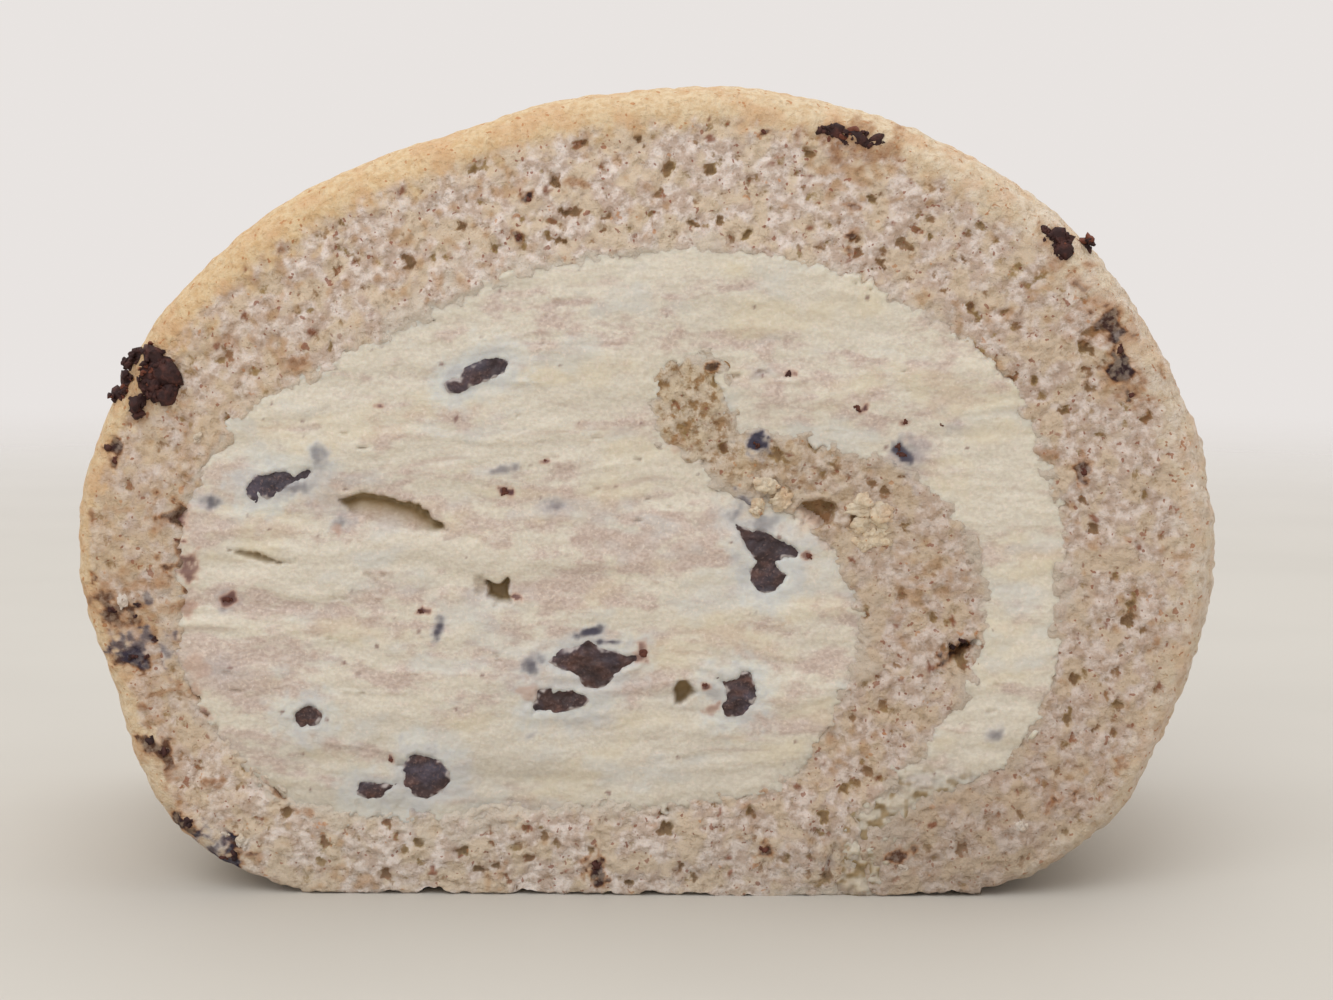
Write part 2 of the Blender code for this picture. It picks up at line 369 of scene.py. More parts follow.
def slab(name, x, z, fore, rear, keep, side, material, values):
    """A solid from the kept cells of a grid: fore is its relief, rear a flat depth behind it."""
    rows, columns = keep.shape
    index = np.full(x.shape, -1)
    used = np.zeros(x.shape, bool)
    for j in (0, 1):
        for i in (0, 1):
            used[j:rows + j, i:columns + i] |= keep
    index[used] = np.arange(used.sum())
    a = index[:-1, :-1][keep]
    b = index[:-1, 1:][keep]
    c = index[1:, 1:][keep]
    d = index[1:, :-1][keep]
    padded = np.pad(keep, 1)
    edges = {}
    for row, column, starts, ends in ((0, 1, a, b), (1, 2, b, c), (2, 1, c, d), (1, 0, d, a)):
        neighbour = padded[row:row + rows, column:column + columns][keep]
        for start, end in zip(starts[~neighbour], ends[~neighbour]):
            edges.setdefault(int(start), []).append(int(end))
    verts = np.stack([x[used], side * (HALF_DEPTH - fore[used]), z[used]], axis=-1)
    count = len(verts)
    rim = sorted(edges)
    behind = {vert: count + i for i, vert in enumerate(rim)}
    rear_verts = verts[rim].copy()
    rear_verts[:, 1] = side * (HALF_DEPTH - rear)
    faces = np.stack([a, b, c, d], axis=-1).tolist()
    for start in rim:
        for end in edges[start]:
            faces.append([end, start, behind[start], behind[end]])
    faces += [[behind[vert] for vert in reversed(loop)] for loop in edge_loops(edges)]
    if side == BACK:
        faces = [face[::-1] for face in faces]
    all_values = {
        value_name: np.concatenate([numbers[used], numbers[used][rim]])
        for value_name, numbers in values.items()
    }
    return new_piece(name, np.concatenate([verts, rear_verts]), faces, material, all_values)


# ---- the sheet's path ----

def extended(places, length, values):
    """Values at places along the sheet, run straight on beyond both of its ends."""
    inner = np.interp(places, length, values)
    before = np.minimum(places - length[0], 0) * (values[20] - values[0]) / (length[20] - length[0])
    after = np.maximum(places - length[-1], 0) * (values[-1] - values[-21]) / (length[-1] - length[-21])
    return inner + before + after


def sheet_curve():
    """Fine points (across, up, thickness) on a smooth curve through the stations, and their stations."""
    stations = np.array(WRAP + TAIL)
    stations = np.vstack([2 * stations[0] - stations[1], stations, 2 * stations[-1] - stations[-2]])
    fine = []
    share = []
    for k in range(1, len(stations) - 2):
        p0, p1, p2, p3 = stations[k - 1:k + 3]
        t1 = math.sqrt(math.dist(p0[:2], p1[:2]))
        t2 = t1 + math.sqrt(math.dist(p1[:2], p2[:2]))
        t3 = t2 + math.sqrt(math.dist(p2[:2], p3[:2]))
        t = np.linspace(t1, t2, CURVE_POINTS, endpoint=False)[:, None]
        a1 = p0 + (p1 - p0) * t / t1
        a2 = p1 + (p2 - p1) * (t - t1) / (t2 - t1)
        a3 = p2 + (p3 - p2) * (t - t2) / (t3 - t2)
        b1 = a1 + (a2 - a1) * t / t2
        b2 = a2 + (a3 - a2) * (t - t1) / (t3 - t1)
        fine.append(b1 + (b2 - b1) * (t - t1) / (t2 - t1))
        share.append(k - 1 + np.linspace(0, 1, CURVE_POINTS, endpoint=False))
    return np.concatenate(fine), np.concatenate(share)


class Sheet:
    """The sponge sheet at evenly spaced places along its middle, from the seam to the tail's tip."""

    def __init__(self, step):
        fine, share = sheet_curve()
        length = np.concatenate([[0], np.cumsum(np.hypot(*np.diff(fine[:, :2], axis=0).T))])
        self.places = np.arange(-SEAM_LAP, length[-1] + LAP, step)
        self.x, self.z, thickness = (extended(self.places, length, fine[:, i]) for i in range(3))
        self.half = thickness / 2
        along = np.stack([np.gradient(self.x), np.gradient(self.z)], axis=-1)
        along /= np.linalg.norm(along, axis=-1, keepdims=True)
        self.outward = np.stack([along[:, 1], -along[:, 0]], axis=-1)
        self.station = np.interp(self.places, length, share)
        self.reach = self.outer_reach()

    def outer_reach(self):
        """How far the outer side lies from the middle: flat on the base, square at the seam."""
        out_x, out_z = self.outward.T
        down = out_z < -0.3
        to_base = np.where(down, self.z / np.maximum(-out_z, 1e-6), 1e9)
        flat = (self.z + out_z * self.half < FLAT_HEIGHT) & down
        reach = np.where(flat, to_base, self.half)
        wall_speed = out_x - SEAM_LEAN * out_z
        to_wall = (SEAM_FOOT + SEAM_LEAN * self.z - self.x) / np.maximum(wall_speed, 1e-6)
        corner = (abs(self.station - len(WRAP)) < 1) & (wall_speed > 0)
        squared = np.maximum(np.minimum(to_base, to_wall), self.half)
        return np.where(corner, squared, reach) + self.read(FULLNESS) * ~flat

    def read(self, table):
        """The values of a table that has a number for each station, or for the first of them."""
        return np.interp(self.station, range(len(table)), table)

    def placed(self, s):
        """Where points lie that are s outward from the middle, with one row for each place."""
        return self.x[:, None] + self.outward[:, :1] * s, self.z[:, None] + self.outward[:, 1:] * s

    def thin(self, rows):
        """Keeps only the given places."""
        for name, values in list(vars(self).items()):
            setattr(self, name, values[rows])


# ---- the sponge ----

def skin_lift(x, z, y, station, seed):
    """How far the baked skin stands out from the plain roll."""
    place = np.clip((HALF_DEPTH - np.abs(y) - RIM_DEPTH) / (HALF_DEPTH - RIM_DEPTH), 0, 1)
    swell = SWELL * np.sin(place * np.pi / 2)
    points = np.stack([x, y, z], axis=-1)
    uneven = 0.22 * noise3(points, 7.0, seed) + 0.13 * noise3(points, 2.4, seed + 1)
    uneven += 0.08 * noise3(points, 1.0, seed + 2)
    free = (1 - smoothstep(len(WRAP) - 2.0, len(WRAP) - 1.0, station)) * smoothstep(0.3, 4.0, z)
    return (swell + uneven) * free


def crumb_fields(rng, distance):
    """Relief and colour values of freshly cut sponge."""
    fine, _ = bubbles(rng, 1.3, 0.15, 0.26)
    middle, _ = bubbles(rng, 0.30, 0.22, 0.36)
    pits, tags = bubbles(rng, 0.35, 0.24, 0.48)
    pits = pits * (0.55 + 0.45 * smoothstep(0.0, 0.5, tags))
    depth = np.maximum(np.maximum(0.7 * fine, 0.85 * middle), pits)
    shift_x = cloud(rng, 0.5) * 0.15
    shift_z = cloud(rng, 0.5) * 0.15
    depth = blurred(warped(depth, shift_x, shift_z), 0.07)
    tags = warped(tags, shift_x, shift_z)
    lumps = cloud(rng, 1.1) * 0.08 + cloud(rng, 0.45) * 0.045 + cloud(rng, 5.0) * 0.10
    patches = cloud(rng, 1.0) + 0.7 * cloud(rng, 7.0)
    specks, _ = bubbles(rng, 0.055, 0.10, 0.30)
    specks = warped(specks, cloud(rng, 0.5) * 0.1, cloud(rng, 0.5) * 0.1)
    smears = smoothstep(2.2, 0.2, -distance + 0.9 * cloud(rng, 1.4)) * smoothstep(-1.0, 1.0, cloud(rng, 7))
    clear = 1 - 0.75 * smears
    return {
        "relief": np.minimum(depth * 0.9, 0.8) * clear - lumps,
        # painted shade in the bubbles, from how deep they are
        "pore_shade": smoothstep(0.04, 0.5, depth) * clear,
        "tag": tags,
        "ochre": smoothstep(1.2, 2.6, patches),
        "speck": smoothstep(0.05, 0.2, specks),
        "smeared": smears,
        "ragged": ragged_cloud(rng, 1.3, 0.5),
    }


def spread(values, count):
    """Repeats one value for each row across a number of columns."""
    return np.repeat(values[:, None], count, axis=1)


def stacked(values, rows):
    """Repeats one value for each column down a number of rows."""
    return np.repeat(values[None], rows, axis=0)


def under_cream(sheet, s, lap, uneven):
    """How far points of a cut lie under the cream that covers the sheet's edges, from 0 to 1."""
    edge = s + sheet.half[:, None] + uneven
    far_edge = np.where(lap[:, None] > 0, sheet.reach[:, None] - s + uneven, 9.0)
    tip = (sheet.places[-1] - sheet.places)[:, None] - LAP + uneven
    return np.clip((1.0 - np.minimum(np.minimum(edge, far_edge), tip)) / (1.0 + LAP), 0, 1)


def ground_clearance(px, py, side, seed):
    """Small ragged gaps between the foot of a cut and what it stands on."""
    ground = np.stack([px, py * 0 + side, py * 0], axis=-1)
    return 0.55 * np.maximum(noise3(ground, 1.6, seed + 12) + 0.5 * noise3(ground, 0.6, seed + 13), 0)


def skin_grain(points, bend, warmth, seed):
    """Fine roughness of the skin where it rolls in at a cut, smoother where it is well baked."""
    grain = 0.15 * noise3(points, 0.6, seed + 9) + 0.16 * noise3(points, 1.1, seed + 10)
    return grain * smoothstep(0.02, 0.3, bend) * (1.1 - 0.75 * warmth)


def goldenness(sheet, beyond, fields, px, pz, flat_end):
    """1 on the skin and 0 on the crumb, with a ragged border between them."""
    ragged = read(fields["ragged"], px, pz)
    warmth = sheet.read(CRUST_WARMTHS)[:, None]
    golden = np.ones(px.shape)
    golden[:, :flat_end] = 1 - smoothstep(-0.8, 1.5, beyond + 0.6 * ragged[:, :flat_end])
    golden = golden * smoothstep(0.3, 1.2, sheet.read(RIM_WIDTHS))[:, None]
    golden = golden * (0.55 + 0.45 * smoothstep(0.2, 0.7, warmth))
    return np.maximum(golden, sheet.read(CRUMB_TONES)[:, None] * smoothstep(-1.5, 1.0, ragged))


def crumb_values(fields, px, pz, rough, under):
    """The crumb's colour values on the cut, fading out down the hidden side and on the skin."""
    flat_end = WALL_POINTS + rough.shape[1]
    cut = (slice(None), slice(WALL_POINTS, flat_end))
    values = {}
    for value_name in SPONGE_VALUES:
        fade = np.zeros(px.shape)
        fade[:, :flat_end] = 1
        if value_name == "pore_shade":
            fade[cut] = rough
        if value_name in ("stain", "dusk"):
            fade[:, flat_end:flat_end + BEND_POINTS] = 1
        values[value_name] = read(fields[value_name], px, pz) * fade
    creamy = smoothstep(0.2, 0.55, under)
    values["smeared"][cut] = np.maximum(values["smeared"][cut], 1.35 * creamy)
    values["pore_shade"][cut] *= 1 - 0.7 * creamy
    return values


def face_ribbon(name, side, fields, seed, material):
    """The layer of sponge behind a cut face, swept along the sheet."""
    sheet = Sheet(SPONGE_STEPS[side])
    across = SPONGE_ACROSS[side]
    rows = len(sheet.places)
    rim = sheet.read(RIM_WIDTHS)
    rim_depth = RIM_DEPTH * np.minimum(rim / RIM_WIDTH, 1)
    lap = LAP * smoothstep(len(WRAP) - 0.5, len(WRAP) + 0.5, sheet.station)
    inner = sheet.half + LAP
    reach = sheet.reach + lap
    turn = np.linspace(0, np.pi / 2, BEND_POINTS + 1)[1:]

    flat_s = -inner[:, None] + (reach - rim + inner)[:, None] * ((np.arange(across) + 0.5) / across)
    flat_x, flat_z = sheet.placed(flat_s)
    uneven = 0.3 * read(fields["ragged"], flat_x, flat_z)
    under = under_cream(sheet, flat_s, lap, uneven)
    tuck = TUCK * under ** 2
    crust = 1 - smoothstep(0.0, 1.1, (reach - rim)[:, None] - flat_s + uneven)
    rough = (1 - 0.4 * crust) * (1 - 0.7 * sheet.read(CRUMB_TONES)[:, None])
    flat_w = read(fields["relief"], flat_x, flat_z) * rough + tuck
    round_s = (reach - rim)[:, None] + rim[:, None] * np.sin(turn)
    round_w = read(fields["relief"], *sheet.placed(round_s)) * 0.55 * np.cos(turn) ** 0.5
    round_w = round_w + tuck[:, -1:] + rim_depth[:, None] * (1 - np.cos(turn))
    skin = np.linspace(0, 1, SKIN_POINTS + 1)[1:]
    down_w = rim_depth[:, None] + (SLAB_DEPTH - rim_depth)[:, None] * skin
    wall_w = stacked(np.linspace(SLAB_DEPTH, 0.5, WALL_POINTS), rows)
    s = np.concatenate([spread(-inner, WALL_POINTS), flat_s, round_s, spread(reach, SKIN_POINTS)], axis=1)
    w = np.concatenate([wall_w, flat_w, round_w, down_w], axis=1)

    px, pz = sheet.placed(s)
    py = side * (HALF_DEPTH - w)
    flat_end = WALL_POINTS + across
    columns = s.shape[1]
    bend = stacked(np.concatenate([np.zeros(flat_end), np.sin(turn), np.ones(SKIN_POINTS)]), rows)
    warmth = sheet.read(CRUST_WARMTHS)
    out = skin_lift(px, pz, py, spread(sheet.station, columns), SKIN_SEED) * bend
    out = out + skin_grain(np.stack([px, py, pz], axis=-1), bend, warmth[:, None], seed)
    px = px + sheet.outward[:, :1] * out
    clear = ground_clearance(px, py, side, seed) * (1 - smoothstep(0.6, 2.4, w))
    pz = np.maximum(pz + sheet.outward[:, 1:] * out, clear)
    beyond = (reach - rim)[:, None] - s[:, :flat_end]
    values = crumb_values(fields, px, pz, rough, under) | {
        "golden": goldenness(sheet, beyond, fields, px, pz, flat_end),
        "warm": spread(warmth, columns),
        "olive": spread(smoothstep(len(WRAP) + 3.0, len(WRAP) + 7.0, sheet.station), columns),
        # painted shade, by station as the table gives it
        "painted_shade": spread(sheet.read(PAINTED_SHADE_LEVELS), columns),
    }
    verts = np.stack([px, py, pz], axis=-1).reshape(-1, 3)
    return sponge_piece(name, verts, swept_faces(rows, columns, side == FRONT), material, values, SHARP_CUT)


def sponge_piece(name, verts, faces, material, values, sharp_angle):
    piece = new_piece(name, verts, faces, material, values)
    piece.data.set_sharp_from_angle(angle=math.radians(sharp_angle))
    return piece


def body_ribbon(name, material):
    """The sponge between the two face layers, with the whole of the baked skin."""
    sheet = Sheet(BODY_STEP)
    wrapped = sheet.station < len(WRAP) + 1
    sheet.thin(np.flatnonzero(wrapped | (np.arange(len(wrapped)) % TAIL_SHARE == 0)))
    rows = len(sheet.places)
    columns = BODY_POINTS + INNER_POINTS
    end = HALF_DEPTH - SLAB_DEPTH + BODY_LAP
    s = np.concatenate([spread(sheet.reach, BODY_POINTS), spread(-sheet.half, INNER_POINTS)], axis=1)
    px, pz = sheet.placed(s)
    py = stacked(np.concatenate(
        [np.linspace(-end, end, BODY_POINTS), np.linspace(end, -end, INNER_POINTS)]
    ), rows)
    on_skin = stacked(np.concatenate([np.ones(BODY_POINTS), np.zeros(INNER_POINTS)]), rows)
    lift = skin_lift(px, pz, py, spread(sheet.station, columns), SKIN_SEED)
    buried = BODY_SINK * smoothstep(end - 0.7, end, np.abs(py))
    out = (lift - buried) * on_skin
    px = px + sheet.outward[:, :1] * out
    pz = np.maximum(pz + sheet.outward[:, 1:] * out, 0)
    verts = np.stack([px, py, pz], axis=-1).reshape(-1, 3)
    values = {
        "golden": on_skin,
        "warm": on_skin * sheet.read(CRUST_WARMTHS)[:, None],
        # painted shade on the skin, by station
        "painted_shade": on_skin * sheet.read(PAINTED_SHADE_LEVELS)[:, None],
        "stain": skin_stains(verts),
    }
    return sponge_piece(name, verts, swept_faces(rows, columns, False), material, values, SHARP_SKIN)


def skin_stains(verts):
    """Faint marks in the skin, with a brown halo round each fleck of chocolate."""
    stain = 0.55 * smoothstep(0.62, 0.85, noise3(verts, 2.6, SKIN_SEED + 5))
    for fleck_x, fleck_y, fleck_z, width, *_ in skin_places():
        away = np.linalg.norm(verts - (fleck_x, fleck_y, fleck_z), axis=-1)
        ragged = away + 0.35 * noise3(verts, 0.8, SKIN_SEED + 6)
        stain = np.maximum(stain, 0.6 * smoothstep(0.5 * width + 0.9, 0.3 * width, ragged))
    return stain


# Chocolate baked into the skin away from the cuts: (station, depth, width, length)
SKIN_FLECKS = (
    (3.6, -9.0, 1.6, 1.2), (4.4, 6.5, 2.2, 1.5), (5.2, -3.5, 1.3, 1.8), (5.9, 12.5, 1.8, 1.3),
    (6.6, -12.0, 1.2, 1.0), (7.2, 4.0, 2.4, 1.6), (7.9, -6.5, 1.4, 1.7), (8.3, 15.0, 1.5, 1.1),
    (8.8, 0.5, 1.1, 1.3), (9.7, 9.0, 1.6, 2.0), (10.3, -5.0, 1.3, 1.2),
    (11.0, 13.0, 2.1, 1.7), (11.4, 2.5, 1.7, 1.3), (12.2, -10.5, 1.4, 1.1), (12.7, 7.0, 1.2, 1.5),
)


def skin_places():
    """Where the flecks sit on the skin, with their sizes and the tilt that lays them flat."""
    sheet = Sheet(BODY_STEP)
    found = []
    for at, depth, width, length in SKIN_FLECKS:
        k = int(np.argmin(np.abs(sheet.station - at)))
        out_x, out_z = sheet.outward[k]
        tilt = math.degrees(math.atan2(-out_x, out_z))
        out = sheet.reach[k] + SWELL * 0.1
        found.append((sheet.x[k] + out_x * out, depth, sheet.z[k] + out_z * out, width, length, tilt))
    return found


# ---- the cream ----

def profile_segments(node):
    """The outline of a solid's flat rear face, as segments in mm."""
    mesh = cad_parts[node].data
    coords = np.array([vert.co for vert in mesh.vertices]) / MM
    rear = coords[:, 1] > HALF_DEPTH - 0.01
    keys = [tuple(np.round(co, 3)) for co in coords]
    uses = {}
    for face in mesh.polygons:
        verts = list(face.vertices)
        if not all(rear[vert] for vert in verts):
            continue
        for a, b in zip(verts, verts[1:] + verts[:1]):
            if keys[a] == keys[b]:
                continue
            pair = frozenset((keys[a], keys[b]))
            uses[pair] = uses.get(pair, 0) + 1
    starts = []
    ends = []
    for pair, count in sorted(uses.items(), key=lambda item: sorted(item[0])):
        if count == 1:
            (ax, _, az), (bx, _, bz) = sorted(pair)
            starts.append((ax, az))
            ends.append((bx, bz))
    return starts, ends


def cream_distance():
    """Distance from the cream's outline over the plane of a cut, positive inside it."""
    coarse_x, coarse_z = np.meshgrid(FIELD_X[::COARSE], FIELD_Z[::COARSE])
    coarse = polygon_distance(*profile_segments("cream"), coarse_x, coarse_z)
    return read(coarse, GRID_X, GRID_Z, COARSE * FIELD_STEP)


def drag_shift():
    """The knife's path over the cream: level, but running down to the right at lower left."""
    low_left = np.exp(-((GRID_Z - 17) / 8) ** 2) * smoothstep(4, -22, GRID_X)
    top = smoothstep(36, 48, GRID_Z)
    return 0.13 * (GRID_X + 20) * low_left + 0.004 * (GRID_X - 2) ** 2 * top


def cream_fields(rng, distance, shift):
    """Relief and colour values of cream dragged by a knife."""
    def streaks(across, up):
        return warped(cloud(rng, across, up), 0, shift + wander)

    wander = 0.35 * cloud(rng, 9, 4)
    dragged = 0.25 + smoothstep(-0.4, 1.6, cloud(rng, 18, 8))
    relief = 0.12 * cloud(rng, 14, 7) + 0.07 * streaks(18, 3.0) + 0.05 * cloud(rng, 3.0, 1.6)
    relief += dragged * (0.05 * streaks(10, 1.3) + 0.02 * streaks(4, 0.55) + 0.01 * streaks(3, 0.3))
    relief += 0.022 * cloud(rng, 0.55) + 0.016 * cloud(rng, 0.3)
    foot = smoothstep(13, 8, GRID_Z) * smoothstep(10, 14, GRID_X) * smoothstep(30, 26, GRID_X)
    relief += foot * (0.12 * cloud(rng, 1.0) + 0.08 * cloud(rng, 0.5))
    torn = smoothstep(2.2, 3.2, streaks(2.8, 0.5) + 0.5 * cloud(rng, 0.8))
    torn = torn * smoothstep(0.0, 1.2, cloud(rng, 9))
    relief += 0.3 * torn
    curls = smoothstep(1.9, 2.8, streaks(4, 0.6))
    relief -= 0.13 * curls
    mauve = 0.6 * streaks(15, 4.5) + 0.45 * streaks(6.5, 2.0) + 0.35 * cloud(rng, 2.6, 1.5)
    mauve += 0.25 * cloud(rng, 1.2, 0.8) + 0.14 * streaks(7, 0.7)
    mauve += 0.7 * np.exp(-((GRID_Z - 28) / 8) ** 2) - 0.35 - 0.6 * smoothstep(22, 30, GRID_X)
    lines = streaks(9, 0.42) + 0.6 * streaks(18, 2.0)
    yellow = 0.8 * streaks(12, 4.0) + 0.4 * streaks(5, 1.6) + 0.3 * cloud(rng, 1.6)
    pale = 0.8 * streaks(9, 3.2) + 0.5 * cloud(rng, 2.2, 1.3)
    specks, _ = bubbles(rng, 0.035, 0.08, 0.18)
    near_sponge = smoothstep(2.2, 0.2, distance + 0.5 * cloud(rng, 2.0))
    return {
        "relief": relief,
        "mauve": smoothstep(-0.8, 1.5, mauve),
        "line": smoothstep(1.7, 3.0, lines),
        "yellow": smoothstep(0.3, 2.0, yellow) + 0.2 * near_sponge,
        "pale": smoothstep(0.4, 2.0, pale),
        "speck": smoothstep(0.03, 0.12, specks),
        # painted shade in the torn streaks, and a crumb-brown tint at the foot
        "shade": np.maximum(0.35 * torn, foot * (0.3 + 0.6 * smoothstep(0.0, 1.4, cloud(rng, 0.8)))),
        # painted shade, darker towards the bottom of the cream
        "painted_shade": smoothstep(19, 8, GRID_Z) * (0.75 + 0.25 * np.clip(cloud(rng, 6, 3), -1, 1)),
        "halo": blank(),
    }


def carve(fields, outline, depth, shade, slope=0.0, edge=0.35):
    """Sinks a hole with the given outline and paints shade into it; with a slope it is deepest at its upper
    edge.
    """
    part = outline_window(outline, 1.0)
    inside = outline_distance(outline, GRID_X[part], GRID_Z[part])
    inside = inside + 0.08 * fields["ragged"][part]
    sunk = smoothstep(-0.1, edge, inside)
    if slope:
        below = below_upper_edge(outline, GRID_X[part], GRID_Z[part])
        sunk = sunk * np.exp(-np.maximum(below, 0) / slope)
    fields["relief"][part] += depth * sunk
    fields["shade"][part] = np.maximum(fields["shade"][part], shade * sunk)


def sink_bed(fields, outline):
    """Makes room for a piece of chocolate, with pale bluish cream round it."""
    carve(fields, outline, BED_DEPTH, 0.0, edge=0.55)
    part = outline_window(outline, 3.0)
    inside = outline_distance(outline, GRID_X[part], GRID_Z[part]) + 0.4 * fields["ragged"][part]
    fields["halo"][part] = np.maximum(fields["halo"][part], smoothstep(-2.4, -0.3, inside))
    bluish = 0.3 * smoothstep(-1.1, -0.1, inside + 0.2 * fields["ragged"][part])
    fields["dusk"][part] = np.maximum(fields["dusk"][part], bluish)


def below_upper_edge(outline, x, z):
    """Distance below the outline's upper edge, which its first half of points follows."""
    line = sorted(outline[:len(outline) // 2 + 1])
    return np.interp(x, [p[0] for p in line], [p[1] for p in line]) - z


def cream_slab(name, side, distance, fields, material):
    """The cream at a cut, with its sides running back almost to mid-slice."""
    step = CREAM_STEPS[side]
    x, z = np.meshgrid(np.arange(*CREAM_X, step), np.arange(*CREAM_Z, step))
    near = read(distance, x, z)
    centre = (near[:-1, :-1] + near[1:, 1:] + near[:-1, 1:] + near[1:, :-1]) / 4
    keep = centre > -OVERLAP
    fore = read(fields["relief"], x, z)
    dip = near + 0.25 * read(fields["ragged"], x, z)
    fore = fore + 0.10 * (1 - smoothstep(-0.6, 0.4, dip)) + 1.3 * (1 - smoothstep(-OVERLAP, -0.7, dip))
    values = {value_name: read(fields[value_name], x, z) for value_name in CREAM_VALUES}
    piece = slab(name, x, z, fore, HALF_DEPTH - CREAM_GAP, keep, side, material, values)
    return piece


# ---- chocolate ----

CHUNK_STEP = 0.09         # between the points of a piece's relief
CHUNK_MARGIN = 0.8        # round its outline
CHUNK_GROWTH = 0.32       # the piece reaches this far past its outline
CHUNK_FACETS = 6          # flat breaks over its face
BED_DEPTH = 0.75          # the cream sinks this far under a piece


def chunk_slab(name, outline, level, depth, blueness, fields, rng, material, side=FRONT):
    """A broken piece of chocolate, cut flush with the cream, from its outline in mm."""
    left, right, bottom, top = extent(outline)
    x, z = np.meshgrid(
        np.arange(left - CHUNK_MARGIN, right + CHUNK_MARGIN, CHUNK_STEP),
        np.arange(bottom - CHUNK_MARGIN, top + CHUNK_MARGIN, CHUNK_STEP),
    )
    fine = read(fields["fine"], x, z)
    middle = read(fields["middle"], x, z)
    inside = outline_distance(outline, x, z) + CHUNK_GROWTH + 0.08 * middle + 0.04 * fine
    centre = (inside[:-1, :-1] + inside[1:, 1:]) / 2
    keep = centre > 0
    facets = np.full(x.shape, -9.0)
    for _ in range(CHUNK_FACETS):
        turn = rng.uniform(0, 2 * np.pi)
        lean = rng.uniform(0.08, 0.3)
        dx = x - rng.uniform(left, right)
        dz = z - rng.uniform(bottom, top)
        facets = np.maximum(facets, lean * (dx * np.cos(turn) + dz * np.sin(turn)) - 0.15)
    fore = level - 0.12 + 0.4 * (1 - smoothstep(0, 0.4, inside)) ** 2 + 0.35 * np.clip(facets, -0.4, 0.5)
    fore = fore + 0.07 * middle + 0.04 * fine
    broad = read(fields["broad"], x, z)
    values = {
        "film": smoothstep(0.2, 1.8, broad + 0.5 * fine + 0.8 * (1 - smoothstep(0, 0.7, inside))),
        # painted shade where the broken face lies deeper
        "pit_shade": smoothstep(0.1, 0.5, facets) + 0.6 * smoothstep(0.8, 1.8, middle),
        "cream": 1 - smoothstep(0.1, 0.34, inside + 0.08 * middle + 0.05 * fine),
        "blue": np.full(x.shape, blueness) + 0.25 * broad,
    }
    piece = slab(name, x, z, fore, depth, keep, side, material, values)
    return piece


def lump_mesh(specs, seed, detail, roughness):
    """Small broken lumps: each (x, y, z, width, depth, height, tilt in degrees)."""
    base = bpy.data.meshes.new("lump")
    maker = bmesh.new()
    bmesh.ops.create_icosphere(maker, subdivisions=detail, radius=1.0)
    maker.to_mesh(base)
    maker.free()
    ball = np.array([vert.co for vert in base.vertices])
    triangles = np.array([list(face.vertices) for face in base.polygons])
    bpy.data.meshes.remove(base)
    verts = []
    faces = []
    for i, (x, y, z, width, depth, height, tilt) in enumerate(specs):
        ragged = 1 + roughness * noise3(ball + 7.3 * i, 0.9, seed)
        ragged += 0.5 * roughness * noise3(ball + 3.1 * i, 0.4, seed + 1)
        body = ball * ragged[:, None] * (width / 2, depth / 2, height / 2)
        c = math.cos(math.radians(tilt))
        s = math.sin(math.radians(tilt))
        turned = np.stack(
            [body[:, 0] * c - body[:, 2] * s, body[:, 1], body[:, 0] * s + body[:, 2] * c], axis=-1
        )
        verts.append(turned + (x, y, z))
        faces.append(triangles + len(ball) * i)
    return np.concatenate(verts), np.concatenate(faces).tolist(), len(ball)


def lumps(name, specs, seed, material, slot_name, values, detail=2, roughness=0.5):
    """One piece of many lumps; values are named numbers, one for each lump."""
    verts, faces, each = lump_mesh(specs, seed, detail, roughness)
    repeated = {key: np.repeat(np.asarray(numbers, float), each) for key, numbers in values.items()}
    piece = new_piece(name, verts, faces, material, repeated)
    return piece


# ---- materials ----

